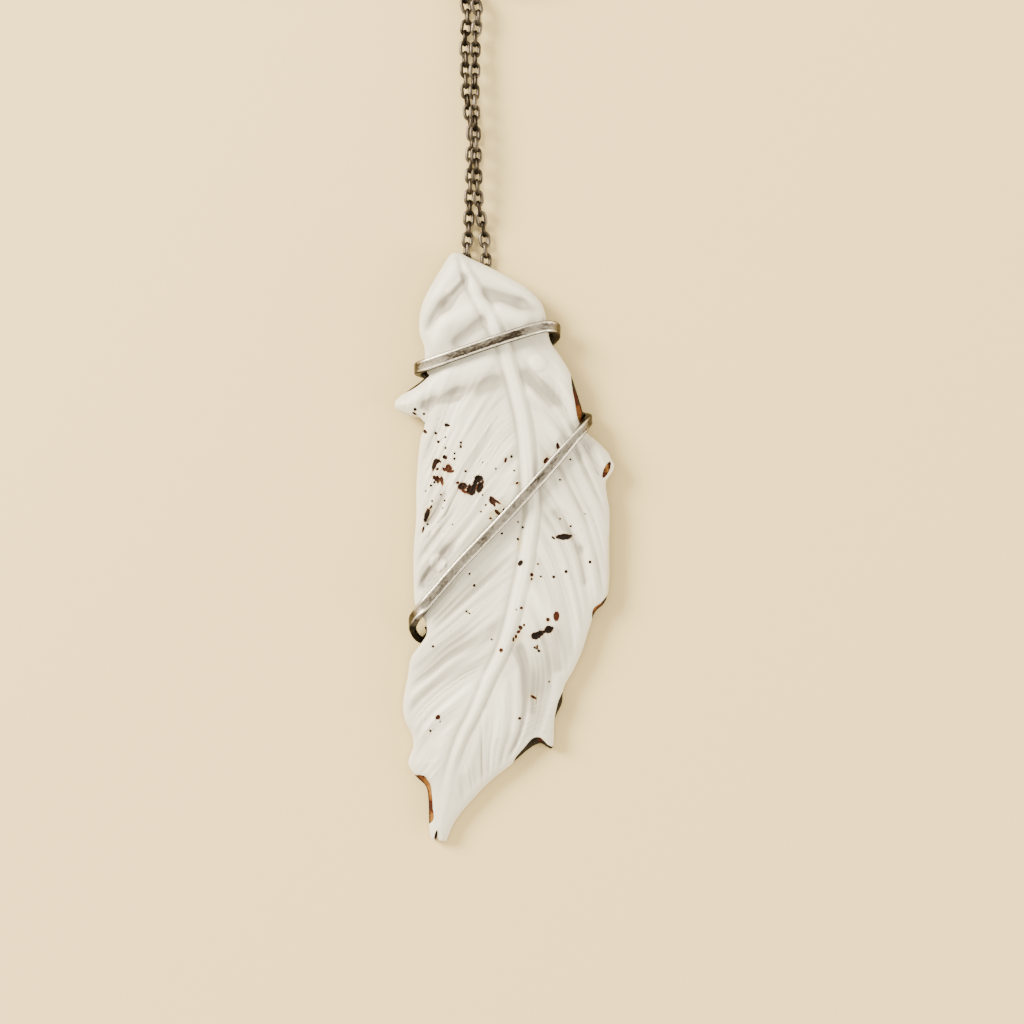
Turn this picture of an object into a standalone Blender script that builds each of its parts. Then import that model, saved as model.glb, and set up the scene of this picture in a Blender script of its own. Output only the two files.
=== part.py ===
"""Feather-shaped relief plaque, bound with flat wire, hung on a fine cable chain.

The pendant lies face up. X runs across the feather, Y from its tip to the chain,
and Z up from the surface that it lies on. Lengths below are in millimetres.
"""
import math

import bmesh
import bpy
import numpy as np
from mathutils import Vector
from mathutils.geometry import delaunay_2d_cdt

MM = 0.001
COLLECTION_NAME = "feather_pendant"

# The plaque's edge, clockwise from its top, with its spikes, notches and chips.
PLAQUE_OUTLINE = (
    (-5.7, 32.8), (-4.8, 32.9), (-3.9, 32.4), (-2.6, 31.8), (0.1, 30.5), (2.5, 29.1), (4.0, 27.7),
    (4.6, 26.5), (4.9, 24.9), (5.3, 23.0), (6.4, 21.4), (7.5, 19.5), (8.2, 17.5), (8.7, 15.9),
    (8.95, 15.0), (8.9, 14.1), (9.3, 12.9), (10.5, 11.9), (11.7, 10.7), (12.1, 9.9), (12.4, 9.3),
    (12.3, 8.6), (11.9, 8.0), (11.5, 7.3), (11.6, 6.0), (11.9, 4.2), (11.9, 1.7), (11.9, -0.8),
    (11.9, -3.6), (11.7, -5.4), (11.2, -6.4), (10.3, -7.3),
    (9.7, -8.9), (8.9, -11.5), (7.9, -13.7), (6.8, -15.7), (6.6, -17.5), (5.8, -19.3), (5.7, -21.3),
    (5.6, -22.4), (5.3, -22.6), (4.8, -22.3), (4.1, -22.0), (2.8, -22.7), (0.6, -24.6), (-1.5, -26.3),
    (-3.7, -28.6), (-5.3, -30.6), (-6.2, -32.5), (-6.4, -33.0), (-7.1, -33.0), (-7.4, -32.6), (-7.7, -33.0),
    (-8.1, -32.6), (-8.3, -31.2), (-8.4, -28.2), (-8.7, -26.8), (-9.8, -25.7), (-10.6, -24.4), (-10.5, -23.5),
    (-10.1, -22.4), (-10.2, -21.1), (-11.0, -19.3), (-11.2, -17.4), (-10.7, -14.6), (-10.3, -12.4),
    (-9.2, -10.8), (-8.5, -9.6), (-8.7, -8.2), (-9.8, -6.5), (-10.0, -3.6), (-10.0, -0.3), (-9.7, 3.4),
    (-9.7, 6.4), (-9.5, 9.8), (-9.2, 12.2), (-8.85, 13.2), (-8.8, 13.9), (-9.35, 14.5), (-10.6, 14.8),
    (-11.6, 15.2), (-12.1, 15.7),
    (-12.1, 16.2), (-11.6, 16.8), (-10.4, 17.7), (-8.6, 19.2), (-8.7, 20.8), (-8.8, 22.4), (-9.3, 23.9),
    (-9.3, 25.9), (-8.8, 27.7), (-7.7, 29.8), (-6.4, 31.9),
)
MIDRIB = (
    (-4.1, 32.6), (-3.2, 29.3), (-1.5, 26.1), (-0.2, 22.9), (0.9, 19.7), (1.8, 16.3), (2.4, 13.5),
    (2.8, 9.8), (3.1, 5.5), (3.2, 3.7), (2.9, 1.0), (2.4, -2.4), (1.7, -5.4), (0.9, -8.6), (-0.1, -11.6),
    (-1.5, -14.5), (-2.7, -17.3), (-3.5, -19.1), (-4.6, -21.2), (-6.0, -25.4), (-7.0, -29.5),
)
EDGE_STEP = 0.95            # spacing of the mesh along the edge
FACE_STEP = 0.92            # and across the front
BACK_STEP = 1.9             # and across the hollow back
BACK_MARGIN = 0.55          # the back's mesh keeps this far from the edge
RIB_LINE_MARGIN = 0.5

# The plaque rests on its tip and on the wire behind it, so its back rim rises toward the chain.
TIP_Y = -33.0
RIM_RISE = 0.0262           # height of the back rim for each millimetre from the tip
EDGE_THICKNESS = 1.45
EDGE_ROUNDING = 0.45
DOME_HEIGHT = 1.35
DOME_RUN = 7.5              # distance from the edge at which the dome is full
HOLLOW_DEPTH = 1.2
HOLLOW_START = 0.6          # distance from the edge at which the hollow back begins
HOLLOW_RUN = 2.4
HOOK_LIFT = 0.95            # the left edge curls up over the wire's hook
HOOK_PLACE = (-9.0, -9.6)
HOOK_REACH = 3.0

RELIEF_START = 0.2          # distance from the edge at which the relief begins
RELIEF_FULL = 1.6
MIDRIB_STEP = 1.2
MIDRIB_HEIGHT = 0.32
MIDRIB_HALF_WIDTH = 0.62
MIDRIB_END = -24.0          # below this the rib's mesh lines stop
MIDRIB_FADE = (-27.0, -17.0)
GROOVE_DEPTH = 0.16
GROOVE_PLACE = 1.25         # distance of each groove from the middle of the rib
GROOVE_HALF_WIDTH = 0.4
RIDGE_HEIGHT = 0.15
RIDGE_PITCH = 2.6           # distance between barb ridges along the midrib
LEFT_SLOPE = 0.72           # fall toward the tip for each millimetre from the midrib
LEFT_CURL = 0.05            # the barbs bend further toward the tip near the rims
RIGHT_SLOPE = 0.85
RIGHT_CURL = 0.12
TIP_SLOPE = 0.9             # added to the slope at the tip, where the barbs run along the midrib
TIP_SLOPE_START = -15.0
TIP_SLOPE_FULL = -27.0
RIDGES_FROM_RIB = (0.9, 2.2)
RIDGES_TOP = (16.0, 21.0)   # the ridges fade out under the smooth cap, and again at the tip
RIDGES_TIP = (-29.0, -24.0)

# Long folds of the relief: (start, end, half width, height); a hollow has a height below zero.
FOLDS = (
    ((-7.7, 30.0), (-9.0, 25.0), 1.0, 0.30),
    ((-6.3, 25.2), (-3.2, 26.6), 1.3, 0.26),
    ((-7.2, 27.2), (-4.4, 29.0), 1.0, -0.34),
    ((-5.0, 23.4), (-2.2, 24.6), 1.2, -0.30),
    ((-1.0, 28.4), (2.2, 26.8), 1.2, -0.32),
    ((0.2, 24.9), (2.0, 25.6), 0.9, 0.24),
    ((-1.8, 20.6), (-6.4, 19.2), 1.2, 0.34),
    ((-6.4, 19.2), (-11.2, 16.1), 1.1, 0.30),
    ((-0.6, 18.0), (-5.4, 16.4), 1.1, -0.30),
    ((-5.4, 16.4), (-8.6, 15.3), 0.9, -0.26),
    ((2.4, 19.0), (6.2, 15.4), 1.1, 0.24),
    ((3.4, -5.4), (5.6, -8.2), 1.0, 0.22),
    ((5.6, -8.2), (6.6, -13.0), 1.0, 0.24),
    ((2.0, -11.6), (3.2, -16.0), 1.0, -0.24),
)
GLAZE_DROPS = ((3.9, 20.5), (-7.2, -1.7))
DROP_RADIUS = 0.8
DROP_HEIGHT = 0.28

WIRE_WIDTH = 1.35
BEND_WIDTH = 1.15           # its width at the right bend
EYE_WIDTH = 1.05            # and at its end, which is hammered thinner too
WIRE_THICKNESS = 0.85
EYE_THICKNESS = 0.6
WIRE_CHAMFER = 0.22
WIRE_CLEARANCE = 0.14
WIRE_STEP = 0.85
WIRE_POINT_STEP = 0.9       # spacing of the heights taken along the two front passes
BACK_PASS_HEIGHT = WIRE_THICKNESS / 2
FIRST_PASS = ((5.0, 24.6), (4.1, 24.45), (1.9, 23.8), (-2.6, 22.3), (-7.0, 20.8), (-8.4, 20.35))
SECOND_PASS = ((8.45, 12.65), (7.55, 11.65), (4.36, 7.95), (0.09, 3.23), (-4.5, -1.58), (-7.2, -4.65),
               (-8.6, -6.25))
WIDENING = (-8.0, -5.5)     # the long pass grows from the bend's width to the full one

# The chain: outside width of a link, and where its two strands lie.
CHAIN_WIDTH = 1.35
CHAIN_CLEARANCE = 0.12
CHAIN_POINT_STEP = 2.7
CHAIN_BEND_STEP = 0.7       # spacing of its points where it turns inside the bail
CHAIN_BEND_POINTS = 4
CHAIN_RISE = (28.6, 30.8)   # where it comes up over the bail's lower leg
CROSSING_START = 33.0
BAIL_WIRE = 0.7
BAIL_FOOT_UPPER = (-3.05, 29.3)
BAIL_FOOT_LOWER = (-3.05, 26.4)
BAIL_BOTTOM_GAP = 0.08
BAIL_CHAIN_GAP = 0.06
BAIL_BEND = 0.3
BAIL_SHORTFALL = 0.12       # its feet end this far under the plaque's back
LEFT_ROUTE = (
    (-3.3, 28.05), (-3.9, 28.3), (-4.2, 29.1), (-4.2, 30.4), (-4.2, 31.9), (-4.1, 33.6), (-3.9, 35.7),
    (-3.8, 38.3), (-3.7, 41.0), (-3.6, 43.9), (-3.5, 46.5), (-3.9, 49.2), (-4.2, 52.3), (-4.3, 56.8),
    (-4.3, 61.2),
)
RIGHT_ROUTE = (
    (-2.8, 28.05), (-2.2, 28.3), (-1.9, 29.1), (-1.9, 30.4), (-1.9, 31.9), (-2.0, 33.6), (-2.2, 35.7),
    (-2.7, 38.3), (-2.9, 41.0), (-3.0, 43.4), (-3.1, 46.2), (-3.2, 49.2), (-3.2, 52.3), (-3.1, 56.8),
    (-3.2, 61.2),
)

# The rest of the chain, wound in two flat layers past the end of the view.
COIL_INNER_RADIUS = 5.55    # to the middle of the innermost turn
COIL_TURN_PITCH = 1.42
COIL_TURNS = 3.58
COIL_CENTRE = (-0.4, 73.4)
LAYER_HEIGHT = CHAIN_WIDTH + 0.03
COIL_STEPS = 40
COIL_CORNER = 0.35
FLOOR_GAP = 0.02
FACE_GAP = 0.3

CLASP_WIRE = 0.8
RING_WIRE = 0.6
RING_RADIUS = 1.3
RING_OFFSET = (2.9, 0.1)
RING_STEPS = 20
EYE_RADIUS = 0.85           # the hook's closed eye
EYE_OFFSET = -3.0
EYE_STEPS = 10
EYE_START = 20.0
EYE_TURN = 310.0
HOOK_RADIUS = 1.0
HOOK_OFFSET = (1.5, 0.1)
HOOK_STEPS = 8
HOOK_RISE = 0.62

MATERIALS = {
    "white_glaze": ((0.80, 0.77, 0.71), 0.28, 0.0),
    "dark_silver": ((0.34, 0.31, 0.28), 0.36, 1.0),
    "blackened_silver": ((0.12, 0.105, 0.09), 0.42, 1.0),
}


def clear_scene():
    for scene_object in list(bpy.data.objects):
        bpy.data.objects.remove(scene_object, do_unlink=True)


def make_collection(name):
    collection = bpy.data.collections.new(name)
    bpy.context.scene.collection.children.link(collection)
    return collection


def make_material(name):
    colour, roughness, metallic = MATERIALS[name]
    material = bpy.data.materials.new(name)
    material.use_nodes = True
    shader = material.node_tree.nodes["Principled BSDF"]
    shader.inputs["Base Color"].default_value = (*colour, 1.0)
    shader.inputs["Roughness"].default_value = roughness
    shader.inputs["Metallic"].default_value = metallic
    return material


def add_mesh(name, vertices, faces, material, collection, smooth_angle=40.0):
    mesh = bpy.data.meshes.new(name)
    mesh.from_pydata([tuple(c * MM for c in v) for v in vertices], [], faces)
    mesh.update()
    mesh.shade_smooth()
    mesh.set_sharp_from_angle(angle=math.radians(smooth_angle))
    mesh.materials.append(material)
    part = bpy.data.objects.new(name, mesh)
    collection.objects.link(part)
    return part


def smooth_path(points, step, closed=False):
    """Points about one step apart along a Catmull-Rom curve through the given ones."""
    knots = [np.array(p, float) for p in points]
    count = len(knots)
    spans = count if closed else count - 1
    path = []
    for i in range(spans):
        if closed:
            before, start, end, after = (knots[(i + k) % count] for k in (-1, 0, 1, 2))
        else:
            before, start, end, after = (knots[min(max(i + k, 0), count - 1)] for k in (-1, 0, 1, 2))
        pieces = max(1, round(float(np.linalg.norm(end - start)) / step))
        for k in range(pieces):
            t = k / pieces
            path.append(0.5 * (2 * start + (end - before) * t
                               + (2 * before - 5 * start + 4 * end - after) * t ** 2
                               + (3 * start - before - 3 * end + after) * t ** 3))
    if not closed:
        path.append(knots[-1])
    return path


def even_path(points, step):
    """Points the same distance apart along a smooth curve through the given ones."""
    fine = np.array(smooth_path(points, step / 12))
    along = np.concatenate(([0.0], np.cumsum(np.linalg.norm(np.diff(fine, axis=0), axis=1))))
    places = np.linspace(0.0, along[-1], max(2, round(along[-1] / step) + 1))
    return np.stack([np.interp(places, along, fine[:, k]) for k in range(fine.shape[1])], axis=1)


def segment_distance(points, start, end):
    """Distance from each point to one straight segment, and how far along it the nearest place is."""
    start = np.array(start, float)
    run = np.array(end, float) - start
    share = np.clip(((points - start) @ run) / (run @ run), 0.0, 1.0)
    return np.linalg.norm(points - start - share[:, None] * run, axis=1), share


def line_distance(points, line):
    """Distance from each point to a line drawn from the top down: below zero on its left in the plan."""
    best = np.full(len(points), np.inf)
    side = np.ones(len(points))
    for start, end in zip(line[:-1], line[1:]):
        distance, _ = segment_distance(points, start, end)
        run = np.array(end, float) - np.array(start, float)
        offset = points - np.array(start, float)
        turn = run[1] * offset[:, 0] - run[0] * offset[:, 1]
        nearer = distance < best
        best[nearer] = distance[nearer]
        side[nearer] = np.sign(-turn[nearer])
    return best * side


def ease(value, low, high):
    share = np.clip((value - low) / (high - low), 0.0, 1.0)
    return share * share * (3.0 - 2.0 * share)


class Plaque:
    """The feather's outline and the heights of its front and back."""

    def __init__(self):
        self.edge = smooth_path(PLAQUE_OUTLINE, EDGE_STEP, closed=True)
        self.midrib = smooth_path(MIDRIB, MIDRIB_STEP)

    def inset(self, points):
        """Distance of each point from the edge."""
        return np.abs(line_distance(points, self.edge + self.edge[:1]))

    def inside(self, points):
        crossings = np.zeros(len(points), int)
        for start, end in zip(self.edge, self.edge[1:] + self.edge[:1]):
            spans = (start[1] > points[:, 1]) != (end[1] > points[:, 1])
            slope = (end[0] - start[0]) / ((end[1] - start[1]) or 1e-9)
            crossings += spans & (points[:, 0] < start[0] + slope * (points[:, 1] - start[1]))
        return crossings % 2 == 1

    def rim(self, points):
        """Height of the underside at the edge."""
        curl = np.exp(-((points[:, 0] - HOOK_PLACE[0]) ** 2 + (points[:, 1] - HOOK_PLACE[1]) ** 2)
                      / HOOK_REACH ** 2)
        return RIM_RISE * (points[:, 1] - TIP_Y) + HOOK_LIFT * curl

    def back(self, points, inset):
        return self.rim(points) + HOLLOW_DEPTH * ease(inset, HOLLOW_START, HOLLOW_START + HOLLOW_RUN)

    def front(self, points, inset):
        height = self.rim(points) + EDGE_THICKNESS
        height += DOME_HEIGHT * (1 - (1 - np.clip(inset / DOME_RUN, 0, 1)) ** 2)
        rounding = 1 - np.clip(inset / EDGE_ROUNDING, 0, 1)
        height -= EDGE_ROUNDING * (1 - np.sqrt(1 - rounding ** 2))
        away = line_distance(points, self.midrib)
        reach = np.abs(away)
        inner = ease(inset, RELIEF_START, RELIEF_FULL)
        rib = MIDRIB_HEIGHT * np.exp(-(reach / MIDRIB_HALF_WIDTH) ** 4)
        groove = GROOVE_DEPTH * np.exp(-((reach - GROOVE_PLACE) / GROOVE_HALF_WIDTH) ** 2)
        height += inner * ease(points[:, 1], *MIDRIB_FADE) * (rib - groove)
        tip = ease(-points[:, 1], -TIP_SLOPE_START, -TIP_SLOPE_FULL)
        slope = np.where(away < 0, LEFT_SLOPE, RIGHT_SLOPE) + TIP_SLOPE * tip
        curl = np.where(away < 0, LEFT_CURL, RIGHT_CURL)
        fall = points[:, 1] + slope * reach + curl * reach ** 2
        ridges = RIDGE_HEIGHT * np.sin(2 * math.pi * fall / RIDGE_PITCH)
        below_cap = 1.0 - ease(points[:, 1], *RIDGES_TOP)
        above_tip = ease(points[:, 1], *RIDGES_TIP)
        height += inner * ease(reach, *RIDGES_FROM_RIB) * below_cap * above_tip * ridges
        for start, end, half_width, amount in FOLDS:
            distance, _ = segment_distance(points, start, end)
            height += inner * amount * np.exp(-(distance / half_width) ** 2)
        for drop in GLAZE_DROPS:
            distance = np.linalg.norm(points - np.array(drop), axis=1)
            height += DROP_HEIGHT * np.sqrt(np.clip(1 - (distance / DROP_RADIUS) ** 2, 0, 1))
        return height

    def grid(self, step, margin):
        """Points in a triangular grid inside the edge, no nearer to it than the margin."""
        low = np.min(self.edge, axis=0)
        high = np.max(self.edge, axis=0)
        rows = np.arange(low[1], high[1], step * math.sqrt(3) / 2)
        spots = [(x + (row % 2) * step / 2, y) for row, y in enumerate(rows)
                 for x in np.arange(low[0], high[0], step)]
        spots = np.array(spots)
        spots = spots[self.inside(spots)]
        return spots[self.inset(spots) > margin]

    def rib_lines(self):
        """Points on the midrib and at its two foot lines, so that the rib keeps its shape."""
        spots = []
        for offset in (-GROOVE_PLACE, -MIDRIB_HALF_WIDTH, 0.0, MIDRIB_HALF_WIDTH, GROOVE_PLACE):
            for here, ahead in zip(self.midrib[:-1], self.midrib[1:]):
                run = (ahead - here) / np.linalg.norm(ahead - here)
                spots.append(here + offset * np.array((-run[1], run[0])))
        spots = np.array(spots)
        spots = spots[self.inside(spots)]
        spots = spots[self.inset(spots) > RIB_LINE_MARGIN]
        return spots[spots[:, 1] > MIDRIB_END]


def triangulate(edge, spots):
    """Triangles over the area inside the edge, using all the spots; the edge's points come first."""
    flat = [Vector(p) for p in edge] + [Vector(p) for p in spots]
    loop = list(range(len(edge)))
    points, _, faces, *_ = delaunay_2d_cdt(flat, [], [loop], 1, 1e-7)
    if len(points) != len(flat):
        raise ValueError("the triangulation merged or added a point")
    return faces


def plaque_mesh(plaque, material, collection):
    edge = plaque.edge
    front = plaque.grid(FACE_STEP, EDGE_STEP * 0.45)
    off_rib = np.abs(line_distance(front, plaque.midrib)) > GROOVE_PLACE + FACE_STEP / 2
    front = front[off_rib | (front[:, 1] <= MIDRIB_END)]
    front = np.concatenate([front, plaque.rib_lines()])
    back = plaque.grid(BACK_STEP, BACK_MARGIN)
    ring = np.array(edge)
    edge_count = len(edge)
    vertices = [(x, y, z) for (x, y), z in zip(ring, plaque.front(ring, np.zeros(edge_count)))]
    vertices += [(x, y, z) for (x, y), z in zip(front, plaque.front(front, plaque.inset(front)))]
    lower_start = len(vertices)
    vertices += [(x, y, z) for (x, y), z in zip(ring, plaque.back(ring, np.zeros(edge_count)))]
    vertices += [(x, y, z) for (x, y), z in zip(back, plaque.back(back, plaque.inset(back)))]
    top_faces = [tuple(f) for f in triangulate(edge, front)]
    back_faces = [tuple(i + lower_start for i in reversed(f)) for f in triangulate(edge, back)]
    walls = []
    for i in range(edge_count):
        j = (i + 1) % edge_count
        walls.append((i, j, j + lower_start, i + lower_start))
    part = add_mesh("feather_plaque", vertices, top_faces + back_faces + walls, material, collection)
    face_outward(part)
    return part


def face_outward(part):
    mesh = bmesh.new()
    mesh.from_mesh(part.data)
    bmesh.ops.recalc_face_normals(mesh, faces=mesh.faces)
    bmesh.ops.triangulate(mesh, faces=mesh.faces)
    mesh.to_mesh(part.data)
    mesh.free()


def taut_heights(plaque, points):
    """Heights of a wire pulled tight over the front: the upper hull of the profile under it."""
    run = np.concatenate(([0.0], np.cumsum(np.linalg.norm(np.diff(points, axis=0), axis=1))))
    profile = np.full(len(points), -np.inf)
    half = WIRE_WIDTH / 2
    for dx, dy in ((0, 0), (half, 0), (-half, 0), (0, half), (0, -half)):
        beside = points + np.array((dx, dy))
        height = plaque.front(beside, plaque.inset(beside))
        height[~plaque.inside(beside)] = -np.inf
        profile = np.maximum(profile, height)
    hull = []
    for place in zip(run, profile):
        while len(hull) > 1:
            (x1, z1), (x2, z2) = hull[-2], hull[-1]
            if (z2 - z1) * (place[0] - x1) > (place[1] - z1) * (x2 - x1):
                break
            hull.pop()
        hull.append(place)
    hull = np.array(hull)
    return np.interp(run, hull[:, 0], hull[:, 1])


def wire_route(plaque):
    """The wire's middle, the way that its flat face looks, its width and thickness, from start to end."""
    first = even_path(FIRST_PASS, WIRE_POINT_STEP)
    second = even_path(SECOND_PASS, WIRE_POINT_STEP)
    lift = WIRE_THICKNESS / 2 + WIRE_CLEARANCE
    low = BACK_PASS_HEIGHT
    up = (0.0, 0.0, 1.0)
    down = (0.0, 0.0, -1.0)
    route = []

    def add(x, y, z, facing, width=WIRE_WIDTH, thickness=WIRE_THICKNESS):
        route.append((x, y, z, *facing, width, thickness))

    # The start is tucked behind the right edge, and comes round it to the front.
    add(2.4, 20.5, 0.98, down)
    add(3.9, 21.9, 0.72, down)
    add(5.2, 23.2, 0.60, (0.35, 0.0, -1.0))
    add(6.0, 24.0, 1.7, (1.0, 0.0, -0.1))
    add(5.8, 24.5, 2.85, (1.0, 0.0, 0.6))
    for (x, y), z in zip(first, taut_heights(plaque, first)):
        add(x, y, z + lift, up)
    # Round the left edge and straight across behind.
    add(-9.25, 20.1, 2.9, (-1.0, 0.0, 0.6))
    add(-9.55, 19.95, 1.75, (-1.0, 0.0, 0.0))
    add(-9.1, 19.75, 0.65, (-0.7, 0.0, -0.8))
    add(-7.6, 19.3, low, down)
    add(-4.0, 18.25, low, down)
    add(0.0, 17.1, low, down)
    add(4.0, 15.95, low, down)
    add(7.7, 14.9, low, down)
    # Round the right edge and down across the front.
    add(9.1, 14.6, 0.63, (0.7, 0.0, -0.8), BEND_WIDTH)
    add(9.6, 14.35, 1.7, (1.0, 0.0, 0.0), BEND_WIDTH)
    add(9.25, 13.8, 2.85, (1.0, 0.2, 0.6), BEND_WIDTH)
    for (x, y), z in zip(second, taut_heights(plaque, second)):
        add(x, y, z + lift, up, BEND_WIDTH + (WIRE_WIDTH - BEND_WIDTH) * float(ease(-x, *WIDENING)))
    # Over the left edge, where it turns on edge and curls round into an eye in the notch.
    add(-9.45, -7.3, 3.0, (-0.6, 0.35, 0.75))
    add(-9.95, -8.0, 2.4, (-0.85, 0.15, 0.5))
    add(-10.15, -8.7, 1.8, (-1.0, 0.0, 0.1))
    add(-10.05, -9.35, 1.25, (-1.0, -0.2, 0.0), EYE_WIDTH, EYE_THICKNESS)
    add(-9.75, -9.95, 0.85, (-0.9, -0.5, 0.0), EYE_WIDTH, EYE_THICKNESS)
    add(-9.2, -10.4, 0.62, (-0.3, -1.0, 0.0), EYE_WIDTH, EYE_THICKNESS)
    add(-8.6, -10.15, 0.6, (0.6, -0.8, 0.0), EYE_WIDTH, EYE_THICKNESS)
    add(-8.25, -9.45, 0.6, (1.0, 0.0, 0.0), EYE_WIDTH, EYE_THICKNESS)
    add(-8.5, -8.8, 0.6, (0.8, 0.6, 0.0), EYE_WIDTH, EYE_THICKNESS)
    return route


def wire_mesh(plaque, material, collection):
    """The flat wire: one eight-sided section carried along the route, worn flat where it rests."""
    path = even_path(wire_route(plaque), WIRE_STEP)
    cut = WIRE_CHAMFER
    vertices = []
    for i, row in enumerate(path):
        before = Vector(path[max(i - 1, 0)][:3])
        after = Vector(path[min(i + 1, len(path) - 1)][:3])
        along = (after - before).normalized()
        outward = Vector(row[3:6])
        outward = (outward - outward.dot(along) * along).normalized()
        across = along.cross(outward)
        centre = Vector(row[:3])
        half_width = row[6] / 2
        half_thick = row[7] / 2
        section = ((half_width, half_thick - cut), (half_width - cut, half_thick),
                   (cut - half_width, half_thick), (-half_width, half_thick - cut),
                   (-half_width, cut - half_thick), (cut - half_width, -half_thick),
                   (half_width - cut, -half_thick), (half_width, cut - half_thick))
        for a, b in section:
            corner = centre + across * a + outward * b
            vertices.append((corner.x, corner.y, max(corner.z, 0.0)))
    count = 8
    faces = []
    for i in range(len(path) - 1):
        for k in range(count):
            j = (k + 1) % count
            faces.append((i * count + k, i * count + j, (i + 1) * count + j, (i + 1) * count + k))
    last = (len(path) - 1) * count
    faces.append(tuple(range(count - 1, -1, -1)))
    faces.append(tuple(last + k for k in range(count)))
    part = add_mesh("wrap_wire", vertices, faces, material, collection)
    face_outward(part)
    return part


def tube(name, points, diameter, material, collection, resolution=2):
    curve = bpy.data.curves.new(name, "CURVE")
    curve.dimensions = "3D"
    curve.bevel_depth = diameter / 2 * MM
    curve.bevel_resolution = resolution
    curve.render_resolution_u = 0
    curve.use_fill_caps = True
    spline = curve.splines.new("POLY")
    spline.points.add(len(points) - 1)
    for spot, place in zip(spline.points, points):
        spot.co = (*(c * MM for c in place), 1.0)
    curve.materials.append(material)
    part = bpy.data.objects.new(name, curve)
    collection.objects.link(part)
    return part


def chain_levels():
    """Height of the chain's middle on the surface, inside the bail and just above the other strand."""
    flat = CHAIN_WIDTH / 2 + FLOOR_GAP
    bail = BAIL_BOTTOM_GAP + BAIL_WIRE + CHAIN_WIDTH / 2 + BAIL_CHAIN_GAP
    return flat, bail


def strand_route(route, rises_over_other):
    """A strand's middle, from inside the bail to the coil, and its height at each point."""
    flat, bail = chain_levels()
    reach = CHAIN_WIDTH + CHAIN_CLEARANCE
    places = []
    for i, (x, y) in enumerate(route):
        z = flat + (bail - flat) * float(1.0 - ease(y, *CHAIN_RISE))
        if rises_over_other and y > CROSSING_START:
            apart = x - np.interp(y, [p[1] for p in LEFT_ROUTE[2:]], [p[0] for p in LEFT_ROUTE[2:]])
            z = max(z, flat + math.sqrt(max(0.0, reach ** 2 - apart ** 2)))
        places.append((x, y, z))
    return places


def coil_side(x):
    """Where the coil's near side is for a strand that reaches it at this x."""
    outer = COIL_INNER_RADIUS + COIL_TURN_PITCH * COIL_TURNS + CHAIN_WIDTH / 2
    return COIL_CENTRE[1] - math.sqrt(outer ** 2 - (x - COIL_CENTRE[0]) ** 2) - FACE_GAP


def add_strand(name, route, rises_over_other, layer_z, material, collection):
    places = strand_route(route, rises_over_other)
    end_x = places[-1][0] + CHAIN_WIDTH / 2
    places.append((places[-1][0], coil_side(end_x), layer_z))
    line = even_path(places, CHAIN_POINT_STEP)
    tight = even_path(places[:CHAIN_BEND_POINTS], CHAIN_BEND_STEP)
    rest = [p for p in line if p[1] > tight[-1][1] + CHAIN_POINT_STEP / 2]
    return tube(name, list(tight) + rest, CHAIN_WIDTH, material, collection)


def coil_ring(material, collection):
    """The outer shape of the wound chain: a flat ring two chains high."""
    inner = COIL_INNER_RADIUS - CHAIN_WIDTH / 2
    outer = COIL_INNER_RADIUS + COIL_TURN_PITCH * COIL_TURNS + CHAIN_WIDTH / 2
    bottom = FLOOR_GAP
    top = FLOOR_GAP + CHAIN_WIDTH + LAYER_HEIGHT
    cut = COIL_CORNER
    profile = ((outer - cut, top), (outer, top - cut), (outer, bottom + cut), (outer - cut, bottom),
               (inner + cut, bottom), (inner, bottom + cut), (inner, top - cut), (inner + cut, top))
    vertices = []
    for i in range(COIL_STEPS):
        angle = 2 * math.pi * i / COIL_STEPS
        vertices += [(COIL_CENTRE[0] + r * math.cos(angle), COIL_CENTRE[1] + r * math.sin(angle), z)
                     for r, z in profile]
    count = len(profile)
    faces = []
    for i in range(COIL_STEPS):
        nxt = (i + 1) % COIL_STEPS
        for k in range(count):
            j = (k + 1) % count
            faces.append((i * count + k, i * count + j, nxt * count + j, nxt * count + k))
    part = add_mesh("chain_coil", vertices, faces, material, collection)
    face_outward(part)
    return part


def add_bail(plaque, material, collection):
    """A staple on the plaque's back, through which the chain turns round the upper foot."""
    low = BAIL_BOTTOM_GAP + BAIL_WIRE / 2
    feet = np.array((BAIL_FOOT_UPPER, BAIL_FOOT_LOWER))
    tops = plaque.back(feet, plaque.inset(feet)) - BAIL_SHORTFALL
    (x1, y1), (x2, y2) = BAIL_FOOT_UPPER, BAIL_FOOT_LOWER
    bend = BAIL_BEND
    points = ((x1, y1, tops[0]), (x1, y1, low + bend), (x1, y1 - bend * 0.3, low + bend * 0.3),
              (x1, y1 - bend, low), (x2, y2 + bend, low), (x2, y2 + bend * 0.3, low + bend * 0.3),
              (x2, y2, low + bend), (x2, y2, tops[1]))
    return tube("bail", points, BAIL_WIRE, material, collection)


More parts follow.
